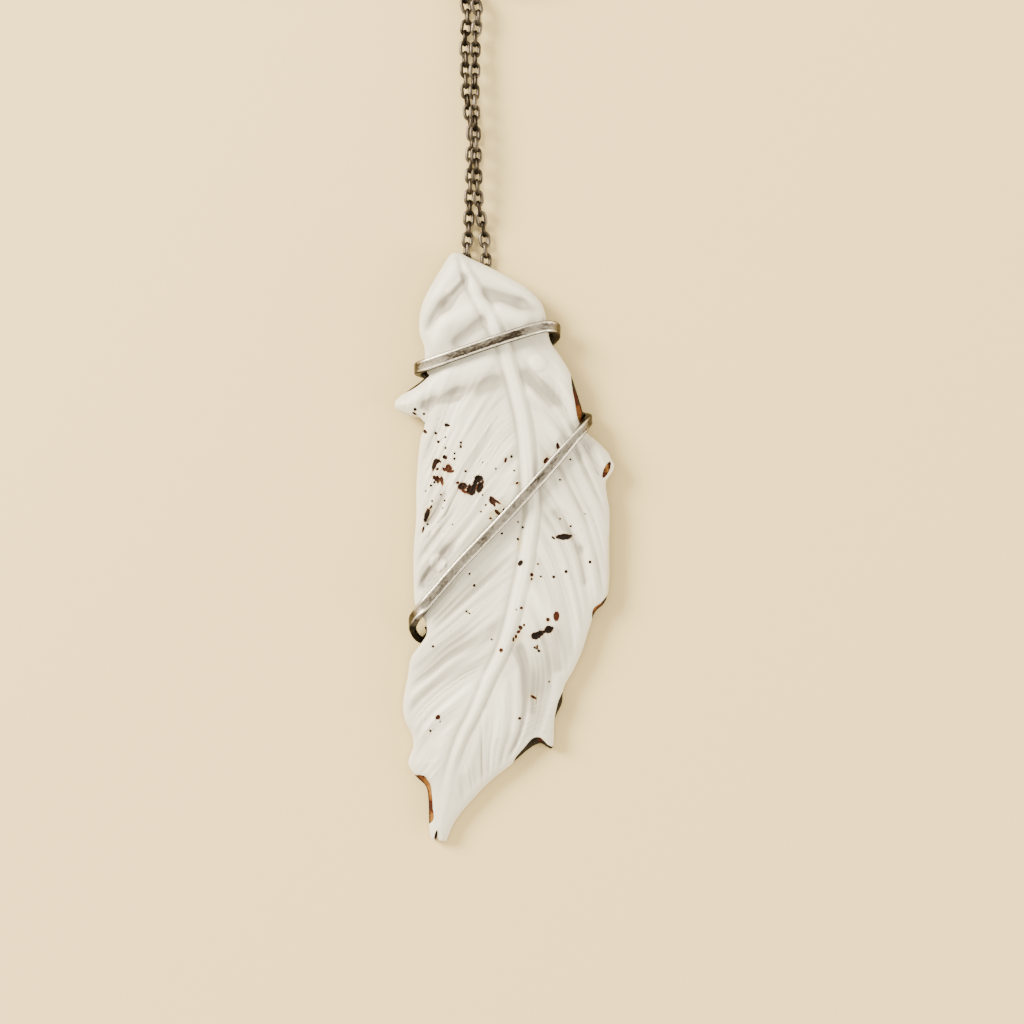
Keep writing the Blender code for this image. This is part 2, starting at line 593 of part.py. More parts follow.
def add_clasp(material, collection):
    """A wire hook with an eye, closed through a ring, in the hole of the coil."""
    cx, cy = COIL_CENTRE
    z = CLASP_WIRE / 2 + FLOOR_GAP
    hook = []
    for k in range(EYE_STEPS + 1):
        angle = math.radians(EYE_START + EYE_TURN * k / EYE_STEPS)
        hook.append((cx + EYE_OFFSET - EYE_RADIUS * math.cos(angle), cy + EYE_RADIUS * math.sin(angle), z))
    hook += [(cx - 1.2, cy - 0.2, z + 0.12), (cx + 0.4, cy - 0.75, z + 0.35)]
    for k in range(HOOK_STEPS + 1):
        angle = math.pi * (k / HOOK_STEPS - 0.5)
        hook.append((cx + HOOK_OFFSET[0] + HOOK_RADIUS * math.cos(angle),
                     cy + HOOK_OFFSET[1] + HOOK_RADIUS * math.sin(angle), z + HOOK_RISE))
    hook += [(cx + 0.6, cy + 1.15, z + 0.62), (cx - 0.3, cy + 1.35, z + 0.55)]
    tube("clasp_hook", hook, CLASP_WIRE, material, collection)
    ring = []
    centre_z = RING_RADIUS + RING_WIRE / 2 + FLOOR_GAP
    for k in range(RING_STEPS):
        angle = 2 * math.pi * k / RING_STEPS
        ring.append((cx + RING_OFFSET[0] + RING_RADIUS * math.cos(angle), cy + RING_OFFSET[1],
                     centre_z + RING_RADIUS * math.sin(angle)))
    part = tube("clasp_ring", ring, RING_WIRE, material, collection)
    part.data.splines[0].use_cyclic_u = True
    part.data.use_fill_caps = False
    return part


def build():
    clear_scene()
    collection = make_collection(COLLECTION_NAME)
    glaze = make_material("white_glaze")
    silver = make_material("dark_silver")
    black = make_material("blackened_silver")
    plaque = Plaque()
    plaque_mesh(plaque, glaze, collection)
    wire_mesh(plaque, silver, collection)
    add_bail(plaque, silver, collection)
    flat, _ = chain_levels()
    add_strand("chain_left", LEFT_ROUTE, False, flat, black, collection)
    add_strand("chain_right", RIGHT_ROUTE, True, flat + LAYER_HEIGHT, black, collection)
    coil_ring(black, collection)
    add_clasp(silver, collection)


build()
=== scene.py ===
import math

import bmesh
import bpy
import numpy as np
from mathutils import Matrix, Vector
from mathutils.geometry import delaunay_2d_cdt


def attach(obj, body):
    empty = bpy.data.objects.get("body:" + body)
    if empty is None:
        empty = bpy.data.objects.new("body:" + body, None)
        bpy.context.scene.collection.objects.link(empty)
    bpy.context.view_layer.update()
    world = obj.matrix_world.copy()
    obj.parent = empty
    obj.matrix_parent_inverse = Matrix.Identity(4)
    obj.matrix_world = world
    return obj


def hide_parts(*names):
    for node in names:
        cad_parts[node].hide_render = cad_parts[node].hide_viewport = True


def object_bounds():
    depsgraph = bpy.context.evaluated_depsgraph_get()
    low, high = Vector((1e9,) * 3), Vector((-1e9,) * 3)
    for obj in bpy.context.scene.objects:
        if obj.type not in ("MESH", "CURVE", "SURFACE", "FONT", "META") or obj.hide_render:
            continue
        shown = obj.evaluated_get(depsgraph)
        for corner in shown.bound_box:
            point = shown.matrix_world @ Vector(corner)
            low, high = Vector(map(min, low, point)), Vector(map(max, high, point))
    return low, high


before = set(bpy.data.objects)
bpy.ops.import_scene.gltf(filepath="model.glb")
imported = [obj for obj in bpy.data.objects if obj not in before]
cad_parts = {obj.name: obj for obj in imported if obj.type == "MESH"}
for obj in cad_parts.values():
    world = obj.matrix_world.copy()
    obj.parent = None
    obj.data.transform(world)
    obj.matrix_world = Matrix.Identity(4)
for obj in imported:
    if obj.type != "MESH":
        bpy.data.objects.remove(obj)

CAD_BOX = [list(corner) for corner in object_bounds()]
MM = 0.001
ROOT = "root"
DOWN = (0.0, 0.0, -1.0)
UP = (0.0, 0.0, 1.0)

# Outline of the feather, clockwise from its top, in millimetres as are all lengths below.
PLAQUE_OUTLINE = (
    (-5.7, 32.8), (-4.8, 32.9), (-3.9, 32.4), (-2.6, 31.8), (0.1, 30.5), (2.5, 29.1), (4, 27.7),
    (4.6, 26.5), (4.9, 24.9), (5.3, 23), (6.4, 21.4), (7.5, 19.5), (8.2, 17.5), (8.7, 15.9), (8.95, 15),
    (8.9, 14.1), (9.3, 12.9), (10.5, 11.9), (11.7, 10.7), (12.1, 9.9), (12.4, 9.3), (12.3, 8.6), (11.9, 8),
    (11.5, 7.3), (11.6, 6), (11.9, 4.2), (11.9, 1.7), (11.9, -0.8), (11.9, -3.6), (11.7, -5.4),
    (11.2, -6.4), (10.3, -7.3), (9.7, -8.9), (8.9, -11.5), (7.9, -13.7), (6.8, -15.7), (6.6, -17.5),
    (5.8, -19.3), (5.7, -21.3), (5.6, -22.4), (5.3, -22.6), (4.8, -22.3), (4.1, -22), (2.8, -22.7),
    (0.6, -24.6), (-1.5, -26.3), (-3.7, -28.6), (-5.3, -30.6), (-6.2, -32.5), (-6.4, -33), (-7.1, -33),
    (-7.4, -32.6), (-7.7, -33), (-8.1, -32.6), (-8.3, -31.2), (-8.4, -28.2), (-8.7, -26.8), (-9.8, -25.7),
    (-10.6, -24.4), (-10.5, -23.5), (-10.1, -22.4), (-10.2, -21.1), (-11, -19.3), (-11.2, -17.4),
    (-10.7, -14.6), (-10.3, -12.4), (-9.2, -10.8), (-8.5, -9.6), (-8.7, -8.2), (-9.8, -6.5), (-10, -3.6),
    (-10, -0.3), (-9.7, 3.4), (-9.7, 6.4), (-9.5, 9.8), (-9.2, 12.2), (-8.85, 13.2), (-8.8, 13.9),
    (-9.35, 14.5), (-10.6, 14.8), (-11.6, 15.2), (-12.1, 15.7), (-12.1, 16.2), (-11.6, 16.8), (-10.4, 17.7),
    (-8.6, 19.2), (-8.7, 20.8), (-8.8, 22.4), (-9.3, 23.9), (-9.3, 25.9), (-8.8, 27.7), (-7.7, 29.8),
    (-6.4, 31.9),
)
MIDRIB = (
    (-4.5, 32.6), (-3.9, 30.6), (-3.2, 29), (-1.7, 26.1), (-0.2, 22.9), (0.9, 19.7), (1.8, 16.3),
    (2.4, 13.5), (2.8, 9.8), (3.1, 5.5), (3.2, 3.7), (2.9, 1), (2.4, -2.4), (1.7, -5.4), (0.9, -8.6),
    (-0.1, -11.6), (-1.5, -14.5), (-2.7, -17.3), (-3.5, -19.1), (-4.6, -21.2), (-6, -25.4), (-7, -29.5),
)

# The white glaze's own edge. Where it runs inside the outline, the iron under it is bare.
GLAZE_OUTLINE = (
    (-6.5, 33.8), (-3.6, 33.2), (3.2, 29.9), (5.6, 26.5), (7.1, 21.8), (7.5, 20), (7.6, 18.6), (7.75, 17.4),
    (7.95, 16.4), (8.1, 15.4), (8.35, 14.3), (9, 13.3), (10.2, 12.6), (12, 11.3), (13.2, 9.6), (13.2, 8.5),
    (12.6, 7), (12.7, 3), (12.7, -0.8), (12.6, -3.6), (12, -4.9), (11.35, -5.7), (10.9, -6.2), (10.3, -6.6),
    (9.95, -7.2), (9.9, -8.9), (9.3, -11.5), (8.2, -13.7), (7, -15.6), (6.75, -16), (6.2, -17.1),
    (5.9, -18.3), (5.75, -19.4), (5.9, -21.3), (5.9, -22.1), (5.45, -22.3), (5, -22.05), (4.6, -21.6),
    (4.1, -21.2), (3.65, -21.2), (3.1, -21.5), (2.35, -22.4), (1.4, -23.5), (0.7, -24.8), (-1.3, -26.6),
    (-3.6, -29), (-5.3, -31.2), (-6.1, -34), (-7.3, -34), (-8.4, -34), (-8.9, -32.6), (-8.6, -31.6),
    (-8.2, -31), (-7.86, -30.7), (-7.7, -30.1), (-7.82, -29.3), (-7.86, -28.4), (-7.93, -27.5),
    (-8.05, -26.7), (-8.41, -26), (-8.84, -25.5), (-9.35, -25.45), (-9.9, -25.45), (-10.35, -24.9),
    (-11, -24.2), (-11.4, -23.2), (-10.9, -22.4), (-10.9, -21.1), (-11.8, -19.3), (-12, -17.4),
    (-11.5, -14.6), (-11, -12.4), (-9.6, -11.2), (-9.2, -9.6), (-9.4, -8.2), (-10.5, -6.5), (-10.8, -3.6),
    (-10.8, 0), (-10.5, 6.4), (-10.2, 9.8), (-9.9, 11.6), (-9.45, 12.7), (-9.15, 13.4), (-8.7, 13.7),
    (-8.7, 14.05), (-9.15, 14.15), (-9.9, 14.25), (-10.9, 14.2), (-13, 15.4), (-13, 16.6), (-11.3, 17.1),
    (-10.3, 17.52), (-9.4, 18.08), (-8.5, 18.85), (-8.2, 19.3), (-9.3, 20.3), (-9.6, 22.2), (-10.1, 23.9),
    (-10.1, 26), (-9.5, 28), (-8.4, 30.2),
)
# Distances between the mesh's points, and between those of the lines that distances are taken from.
EDGE_STEP = 0.22
FACE_STEP = 0.19
BACK_STEP = 0.8
FINE_STEP = 0.075
CHIP_STEP = 0.11
COARSE_STEP = 0.6
MIDRIB_STEP = 0.8
GLAZE_STEP = 0.35
# The grid's lower left and upper right corners, and how near to the edge its points may come.
GRID_LOW = (-12.6, -33.2)
GRID_HIGH = (12.9, 33.2)
FACE_MARGIN = 0.6 * EDGE_STEP
BACK_MARGIN = 0.3
FINE_MARGIN = 0.05
FINE_REACH = 0.09           # the face's own points stay this far from closer ones
SPOT_BORDER = 0.2           # how far the closer points reach past a spot
SPECK_RINGS = ((0.0, 1), (0.75, 6), (1.25, 8))  # in radii, and the points in each
CHIP_BAND = 1.5             # the chipped edges lie this near to the outline
CHIP_REACH = 0.16           # and closer points this near to a chip's own edge

# Heights of the plaque, as its solid has them.
TIP_Y = -33.0
RIM_RISE = 0.0262
EDGE_THICKNESS = 1.45
EDGE_ROUNDING = 0.45
DOME_HEIGHT = 1.35
DOME_RUN = 7.5
HOLLOW_DEPTH = 1.2
HOLLOW_START = 0.6
HOLLOW_RUN = 2.4
HOOK_LIFT = 0.95
HOOK_PLACE = (-9.0, -9.6)
HOOK_REACH = 3.0
GLAZE_THICKNESS = 0.26

# The midrib: its half width from the top down, the crease along its middle and the grooves beside it.
MIDRIB_HEIGHT = 0.34
RIB_HALF_WIDTHS = ((31.5, 0.26), (28.5, 0.52), (10.0, 0.60), (-5.0, 0.56), (-17.0, 0.38), (-27.0, 0.26))
RIB_FADE = (-27.5, -17.0)
RIB_LOWEST = 0.35
RIB_END = (-29.5, -22.0)
CREASE_DEPTH = 0.07
CREASE_SHARE = 0.35
GROOVE_DEPTH = 0.11
GROOVE_PLACE = 0.38
GROOVE_WIDTH = 0.22

# The barbs: slope and curl away from the midrib and noise seed (left, right), and the steeper tip.
BARB_SLOPES = (0.72, 0.85)
BARB_CURLS = (0.05, 0.12)
BARB_SEEDS = (11.0, 23.0)
TIP_SLOPE = 0.9
TIP_BEND = (15.0, 27.0)
BARB_WANDER = 0.5
# Their relief from broad to fine: (spacing across the barbs, spacing along them, height).
BARB_LAYERS = ((1.25, 6.0, 0.37), (0.62, 5.0, 0.19), (0.24, 3.0, 0.07))
# Where the relief comes in: away from the midrib, below the plain cap, above the tip, in from the edge.
VANE_START = (0.75, 1.9)
CAP_START = (15.5, 21.5)
CAP_PLAINNESS = 0.75
TIP_START = (-31.5, -24.0)
TIP_LOWEST = 0.25
RELIEF_START = (0.15, 1.5)
# The glaze's thicker bead along the edge.
BEAD_INSET = 0.75
BEAD_WIDTH = 0.35
BEAD_HEIGHT = 0.07

# Long folds of the relief: (start x, y, end x, y, half width, height); hollows are below zero.
FOLDS = (
    (-7.4, 30.4, -9, 25.4, 0.8, 0.26), (-5.6, 31.2, -7.2, 28.4, 0.9, 0.22),
    (-4.1, 29.9, -6.4, 27, 0.62, -0.4), (-6.4, 27, -8.6, 24.6, 0.7, -0.32),
    (-4.7, 29.8, -6, 28.5, 0.28, 0.22), (-3.2, 26.5, -6.4, 24.9, 0.95, 0.3),
    (-6.4, 24.9, -7.7, 23.2, 1.1, 0.3), (-2.2, 25.3, -5, 22.9, 0.75, -0.34),
    (-3, 26.9, -2.8, 26.3, 0.3, -0.18), (-2.8, 31.2, 3.6, 27.9, 0.7, 0.24),
    (-1.8, 28.2, 1.9, 27.2, 0.75, -0.42), (1.9, 27.2, 4.2, 26.4, 0.6, -0.2),
    (-0.2, 26.3, 2.3, 25, 0.9, 0.34), (-1.8, 20.6, -6.4, 19.2, 1.2, 0.36),
    (-6.4, 19.2, -11.2, 16.1, 1.1, 0.32), (-0.9, 18.4, -5.4, 17.1, 0.9, -0.3),
    (-5.2, 17.1, -8.7, 15.9, 0.75, -0.4), (2.6, 21.6, 4.6, 19.8, 1, 0.22),
    (2.6, 19.2, 5.6, 16.2, 0.8, -0.22), (6.5, 20, 8, 14.4, 0.8, 0.2), (3, 17.2, 6.2, 12.4, 0.5, 0.14),
    (3.4, -5.4, 5.6, -8.2, 1, 0.22), (5.9, -9.4, 6.3, -13.6, 0.6, -0.22),
    (-6.3, -0.6, -8.7, -3.9, 1, -0.32), (-6.6, 5.9, -8.2, 3, 0.6, -0.24), (-5.2, 8, -7.7, 1.6, 0.3, 0.17),
    (5.9, 3.9, 8.7, -0.2, 0.5, -0.2), (8.7, -0.2, 9.2, -3.8, 0.5, -0.2), (2, -11.6, 3.2, -16, 1, -0.24),
    (3.2, -16.6, 3.2, -18.2, 0.5, -0.14), (-2.2, -14.4, -8.4, -20, 0.6, 0.16),
    (-3.2, -16.2, -7.2, -22.2, 0.5, 0.16), (-1.8, -18.6, -4, -25, 0.45, 0.15),
    (0.4, -15, -0.4, -21, 0.4, 0.14), (1.6, -14, 1.2, -20.5, 0.35, 0.12),
)
GLAZE_DROPS = ((3.9, 20.5), (-7.2, -1.7))
DROP_RADIUS = 1.0
DROP_HEIGHT = 0.32

# Rust-through spots: (x, y, half length, half width, turn in degrees, redness from 0 to 1).
BLOTCHES = (
    (-7.62, 9.27, 0.61, 0.22, 72, 0.25), (-7.34, 9.61, 0.26, 0.23, 0, 0.35),
    (-7.07, 9.65, 0.26, 0.11, -45, 0.45), (-7.3, 8.75, 0.16, 0.14, 0, 0.55),
    (-6.45, 10.06, 0.25, 0.2, -30, 0.3), (-6.02, 8.8, 0.47, 0.33, -70, 0.8),
    (-6.55, 8.71, 0.22, 0.15, -60, 0.9), (-5.57, 8.49, 0.19, 0.12, 45, 0.6),
    (-7.55, 7.73, 0.35, 0.18, -45, 0.5), (-7.25, 7.6, 0.38, 0.19, -85, 0.6),
    (-6.8, 7.46, 0.49, 0.18, -80, 0.8), (-7.64, 7.29, 0.12, 0.11, 0, 0.4), (-7, 7.64, 0.21, 0.14, 0, 0.6),
    (-4.47, 6.81, 0.46, 0.39, 10, 0.3), (-5.03, 7.23, 0.2, 0.13, 20, 0.8),
    (-4.27, 6.25, 0.33, 0.16, -25, 1), (-3.76, 6.48, 0.49, 0.25, 80, 0.25),
    (-3.45, 6.14, 0.38, 0.28, 10, 0.2), (-3.22, 6.72, 0.63, 0.26, 70, 0.1),
    (-2.71, 7.68, 0.45, 0.35, 5, 0.1), (-2.58, 6.7, 0.52, 0.34, 75, 0.15),
    (-2.21, 7.26, 0.22, 0.11, 80, 0.8), (-3.06, 7.26, 0.28, 0.21, 60, 0.1),
    (-1.16, 5.22, 0.42, 0.32, -55, 0.5), (-0.63, 5.11, 0.42, 0.12, -35, 0.75),
    (-0.94, 4.73, 0.18, 0.12, -80, 0.8), (-1.32, 5.58, 0.18, 0.14, -45, 0.45),
    (-0.63, 3.95, 0.35, 0.16, -42, 0.6), (-1.38, 3.27, 0.15, 0.12, 0, 1), (0.07, 4.26, 0.12, 0.12, 0, 0.8),
    (-8.48, 3.66, 0.73, 0.26, 72, 0.1), (-8.02, 4.54, 0.22, 0.11, 65, 0.35), (-8.9, 2, 0.34, 0.11, 75, 0.7),
    (0.29, 9.74, 0.25, 0.14, 75, 0.7), (1.57, 7.18, 0.18, 0.11, 25, 0.9),
    (6.11, 11.29, 0.31, 0.18, -75, 0.5), (4.79, 9.68, 0.32, 0.22, 60, 0.75),
    (1.96, -1.69, 0.35, 0.21, 60, 0.1), (6.79, 1.21, 0.8, 0.29, 2, 0.1), (5.6, 1.1, 0.25, 0.11, -40, 0.1),
    (3.65, -9.8, 0.5, 0.37, 15, 0.1), (4.15, -9.55, 0.38, 0.29, 30, 0.1), (5.1, -9.1, 0.46, 0.37, 20, 0.12),
    (4.6, -9.35, 0.22, 0.16, 20, 0.15), (5.95, -7.65, 0.29, 0.48, 0, 1),
    (3.4, -16.7, 0.35, 0.13, -30, 0.75), (-0.2, -11.4, 0.19, 0.19, 0, 0.9),
    (-7.25, -18.9, 0.26, 0.24, 40, 0.9), (1.85, -19.05, 0.17, 0.15, 0, 0.1),
    (-8.1, -20.45, 0.13, 0.13, 0, 0.1), (2.05, -6.7, 0.17, 0.15, 0, 0.9), (5, -8, 0.18, 0.2, 30, 0.75),
    (1.95, -8.9, 0.2, 0.24, 20, 0.5), (1.75, -9.35, 0.22, 0.16, 30, 0.8), (2.35, -8.6, 0.13, 0.13, 0, 0.9),
    (1.45, -9.9, 0.13, 0.2, 0, 0.7), (1.15, -10.2, 0.11, 0.22, 0, 0.85), (3.2, -3, 0.18, 0.18, 0, 0.6),
    (3.2, -3.5, 0.12, 0.12, 0, 0.6), (-8.7, 12.95, 0.26, 0.16, -40, 0.4),
    (-9.85, 14.95, 0.26, 0.11, -30, 0.3), (-7.5, -32.25, 0.55, 0.13, 80, 0.2),
)
SPOT_GROWTH = 1.12          # offsets what the ragged edge takes away
SPOT_DEPTH = 0.10
# Tiny black specks: (x, y, radius).
SPECKS = (
    (-9.8, 15.4, 0.14), (-8.8, 14.9, 0.12), (-6.3, 13.65, 0.17), (-6, 13.6, 0.11), (-7.5, 12.75, 0.14),
    (-7.2, 11.8, 0.14), (-6.4, 12.3, 0.08), (-6.4, 11.1, 0.09), (-4.65, 11.7, 0.11), (-4.7, 11.2, 0.11),
    (-8, 6.94, 0.1), (-5.37, 10.49, 0.11), (-5.4, 9.9, 0.11), (-4.16, 8.5, 0.11), (-2.27, 9.51, 0.07),
    (-0.78, 8.75, 0.08), (1.26, 8.56, 0.08), (-1.9, 4.75, 0.1), (-2.44, 4, 0.09), (-2.24, 5.86, 0.08),
    (0.95, 10.13, 0.11), (1.68, 2.87, 0.08), (2.2, 2.26, 0.1), (-0.11, 1.59, 0.1), (1.67, 0.95, 0.11),
    (6.34, 7.55, 0.09), (7.49, 9.82, 0.08), (6.35, 3.2, 0.09), (7.55, 2.4, 0.1), (9.15, 3.75, 0.06),
    (4.2, -3.2, 0.1), (5.65, -3.25, 0.14), (7, -2.65, 0.15), (9.7, -1.6, 0.13), (3.9, -1.8, 0.09),
    (-3.2, -4.2, 0.13), (-4.05, -7.1, 0.11), (-3.7, -7.3, 0.07), (-1.25, -10.2, 0.07), (-7.8, -11, 0.11),
    (3.5, -11.1, 0.09), (4, -11.5, 0.12), (5.15, -15, 0.09), (-8.4, 2.6, 0.09), (-7.9, 5.2, 0.08),
    (-8.6, 6.3, 0.07), (-6.9, 5.9, 0.07), (-6.5, 5.24, 0.07), (-6.7, 4.4, 0.06), (-5.6, 2.6, 0.06),
    (-3.7, -2.9, 0.08), (1.5, -6.9, 0.06), (-7, -19.4, 0.07), (3.85, -10.9, 0.07),
)
SPECK_GROWTH = 1.3
SPECK_REDNESS = 0.05
# Faint stains in the glaze: (x, y, half length, half width, turn, strength).
STAINS = (
    (-1.04, 3.75, 0.75, 0.45, 20, 1), (-0.3, 4.4, 0.75, 0.5, 50, 0.85), (-1.4, 3.25, 0.35, 0.28, 0, 1),
    (-0.2, 5.1, 0.9, 0.5, -30, 0.55), (1.86, 0.6, 1.1, 0.3, 85, 0.8), (1.6, 7.1, 0.5, 0.34, 0, 0.8),
    (1.75, -10, 0.9, 0.45, 60, 0.8), (3.2, -3.2, 0.6, 0.3, 90, 0.7), (-6.5, 8.8, 1.5, 0.9, -60, 0.55),
    (-7, 7.4, 0.9, 0.6, -40, 0.5), (-3.6, 6.6, 1.9, 0.8, 15, 0.35), (-4.3, 6.1, 0.7, 0.4, -20, 0.6),
    (6.9, 4, 0.8, 0.2, -45, 0.35), (0.29, 9.74, 0.45, 0.35, 75, 0.5), (4.8, 9.9, 0.7, 0.5, 60, 0.6),
    (5, -8.1, 0.5, 0.45, 0, 0.7), (3.4, -16.7, 0.8, 0.7, 0, 0.35), (-8.3, 3.9, 0.9, 0.55, 75, 0.5),
    (-8.4, -26, 0.9, 0.35, -60, 0.5), (6.1, 11, 0.6, 0.4, 60, 0.35), (-0.2, -11.4, 0.35, 0.3, 0, 0.5),
)
# Where the bare iron at the edge is rusted: (x, y, radius, shade from 0, dark red, to 1, gold).
RUST_PLACES = (
    (8, 16.8, 0.9, 0.45), (8.5, 15.3, 0.8, 0.75), (8.5, 14.3, 0.7, 0.85), (-9.4, -25.6, 0.7, 0.6),
    (-8.6, -26.2, 0.6, 0.85), (-8.3, -27.2, 0.9, 1), (-8.2, -28, 0.5, 0.85), (-8.1, -29, 0.75, 0.4),
    (-8, -30.3, 0.8, 0.9), (-8.3, -31.1, 0.5, 0.7), (10.8, -6.9, 0.9, 0.85), (11.6, 8.6, 1.1, 0.5),
    (11.75, 8.6, 0.35, 0.95), (11.5, 9.1, 0.3, 1), (4.2, -21.5, 0.45, 0.3),
)
# The range of Y in which the right edge has a thin yellow-green glaze instead of white.
YELLOW_EDGE = (-5.6, 1.4)
YELLOW_WIDTH = (0.12, 0.30)
# The chip in the right spike: x, y, half length, half width, turn in degrees.
RIGHT_CHIP = (11.57, 8.68, 1.05, 0.34, 66)

# The wrap wire, and the middles of its two passes over the front.
WIRE_WIDTH = 1.35
BEND_WIDTH = 1.15
EYE_WIDTH = 1.05
WIRE_THICKNESS = 0.85
EYE_THICKNESS = 0.8
WIRE_CHAMFER = 0.22
WIRE_CLEARANCE = 0.14
BEHIND = WIRE_THICKNESS / 2
FIRST_PASS = ((5.0, 24.6), (4.1, 24.45), (1.9, 23.8), (-2.6, 22.3), (-7.0, 20.8), (-8.4, 20.35))
SECOND_PASS = ((8.45, 12.65), (7.55, 11.65), (4.36, 7.95), (0.09, 3.23), (-4.5, -1.58), (-7.2, -4.65),
               (-8.6, -6.25))
# The rest of its route: (x, y, z, the way that its flat face looks). It starts tucked behind the right
# edge, turns round the left edge and goes straight across behind, comes round the right edge again, and
# after its second pass turns over the left edge and curls round into an eye in the notch.
WIRE_START = (
    (2.4, 20.5, 0.98, *DOWN), (3.9, 21.9, 0.72, *DOWN), (5.2, 23.2, 0.6, 0.35, 0, -1),
    (6, 24, 1.7, 1, 0, -0.1), (5.8, 24.5, 2.85, 1, 0, 0.6),
)
WIRE_BACK = (
    (-9.25, 20.1, 2.9, -1, 0, 0.6), (-9.55, 19.95, 1.75, -1, 0, 0),
    (-9.1, 19.75, 0.65, -0.7, 0, -0.8), (-7.6, 19.3, BEHIND, *DOWN), (-4, 18.25, BEHIND, *DOWN),
    (0, 17.1, BEHIND, *DOWN), (4, 15.95, BEHIND, *DOWN), (7.7, 14.9, BEHIND, *DOWN),
)
WIRE_RIGHT = (
    (9.1, 14.6, 0.63, 0.7, 0, -0.8), (9.6, 14.35, 1.7, 1, 0, 0), (9.25, 13.8, 2.85, 1, 0.2, 0.6),
)
WIRE_TURN = (
    (-9.45, -7.3, 3, -0.6, 0.35, 0.75), (-9.95, -8, 2.4, -0.85, 0.15, 0.5), (-10.15, -8.7, 1.8, -1, 0, 0.1),
)
WIRE_EYE = (
    (-10.05, -9.35, 1.25, -1, -0.2, 0), (-9.75, -9.95, 0.85, -0.9, -0.5, 0),
    (-9.2, -10.4, 0.62, -0.3, -1, 0), (-8.6, -10.15, 0.6, 0.6, -0.8, 0), (-8.25, -9.45, 0.6, 1, 0, 0),
    (-8.5, -8.8, 0.6, 0.8, 0.6, 0),
)
WIDENING = (-8.0, -5.5)     # minus the X between which the second pass gets its full width
WIRE_POINT_STEP = 0.9
WIRE_STEP = 0.2
WIRE_WAVER = 0.04
WAVER_LENGTH = 1.3
# How far the wire's face is darkened: in front above a height; below it, where the wire bends round the
# edges and runs behind, by tarnish and painted shade; and in the middle of the first pass, which lies above a
# Y.
FRONT_HEIGHT = 2.9
FRONT_TARNISH = 0.03
BACK_TARNISH_AND_SHADE = 0.15
FIRST_PASS_Y = 18.0
MIDDLE_TARNISH = 0.09
MIDDLE_LEFT = (-7.0, -5.0)
MIDDLE_RIGHT = (0.5, 3.0)

# The chain's two strands, from the bail to the edge of the view, and its coil.
CHAIN_WIDTH = 1.35
CHAIN_CLEARANCE = 0.12
BAIL_WIRE = 0.7
BAIL_FOOT_UPPER = (-3.05, 29.3)
BAIL_FOOT_LOWER = (-3.05, 26.4)
BAIL_BOTTOM_GAP = 0.08
LEFT_ROUTE = (
    (-3.3, 28.05), (-3.9, 28.3), (-4.2, 29.1), (-4.2, 30.4), (-4.2, 31.9), (-4.1, 33.6), (-3.9, 35.7),
    (-3.8, 38.3), (-3.7, 41), (-3.6, 43.9), (-3.5, 46.5), (-3.9, 49.2), (-4.2, 52.3), (-4.3, 56.8),
    (-4.3, 61.2),
)
RIGHT_ROUTE = (
    (-2.8, 28.05), (-2.2, 28.3), (-1.9, 29.1), (-1.9, 30.4), (-1.9, 31.9), (-2, 33.6), (-2.2, 35.7),
    (-2.7, 38.3), (-2.9, 41), (-3, 43.4), (-3.1, 46.2), (-3.2, 49.2), (-3.2, 52.3), (-3.1, 56.8),
    (-3.2, 61.2),
)
COIL_INNER_RADIUS = 5.55
COIL_TURN_PITCH = 1.42
COIL_OUTER_RADIUS = COIL_INNER_RADIUS + COIL_TURN_PITCH * 3.58
COIL_CENTRE = (-0.4, 73.4)
COIL_ENTRY_DEG = 225.0
COIL_POINTS = 24            # for each turn
DIP_TURN = 95.0 / 360       # the last part of the coil, where a strand turns in to its clasp
LAYER_HEIGHT = CHAIN_WIDTH + 0.03
FLOOR_GAP = 0.02
LINK_WIRE = 0.43
LINK_LENGTH = 2.0
LINK_PITCH = 1.19
LINK_SIDES = 8
LINK_TILTS = (14, 98)       # degrees, in turn
LINK_SWAY = 26
CHAIN_STEP = 0.25
BAIL_RAMP = (28.6, 30.8)    # the Y between which the chain comes down from the bail
CROSSING_START = 33.0       # above this Y the right strand rests on the left one

BAIL_BEND = 0.3
CLASP_WIRE = 0.8
RING_WIRE = 0.6
RING_RADIUS = 1.3

# The photograph's camera: it looks straight down.
PIXEL = 0.11186             # millimetres on the feather for one pixel
VIEW_CENTRE = ((512 - 503) * PIXEL, (547.5 - 512) * PIXEL)
VIEW_WIDTH = 1024 * PIXEL
FEATHER_HEIGHT = 2.0        # the height at which that scale holds
CAMERA_DISTANCE = 270.0
SENSOR = 36.0
WARM_WHITE = (1.0, 0.92, 0.70)
FLOOR_COLOUR = (0.79, 0.613, 0.315, 1.0)


def path_lengths(path):
    return np.concatenate(([0.0], np.cumsum(np.linalg.norm(np.diff(path, axis=0), axis=1))))


def smooth_path(points, step, closed=False):
    """Points about one step apart along a Catmull-Rom curve through the given ones."""
    knots = [np.array(p, float) for p in points]
    count = len(knots)
    path = []
    for i in range(count if closed else count - 1):
        near = [(i + k) % count if closed else min(max(i + k, 0), count - 1) for k in (-1, 0, 1, 2)]
        before, start, end, after = (knots[k] for k in near)
        pieces = max(1, round(float(np.linalg.norm(end - start)) / step))
        for k in range(pieces):
            t = k / pieces
            path.append(0.5 * (2 * start + (end - before) * t
                               + (2 * before - 5 * start + 4 * end - after) * t ** 2
                               + (3 * start - before - 3 * end + after) * t ** 3))
    if not closed:
        path.append(knots[-1])
    return np.array(path)


def even_path(points, step):
    """Points the same distance apart along a smooth curve through the given ones."""
    fine = smooth_path(points, step / 12)
    along = path_lengths(fine)
    places = np.linspace(0.0, along[-1], max(2, round(along[-1] / step) + 1))
    return np.stack([np.interp(places, along, fine[:, k]) for k in range(fine.shape[1])], axis=1)


def distances(points, place):
    return np.linalg.norm(points - np.array(place), axis=1)


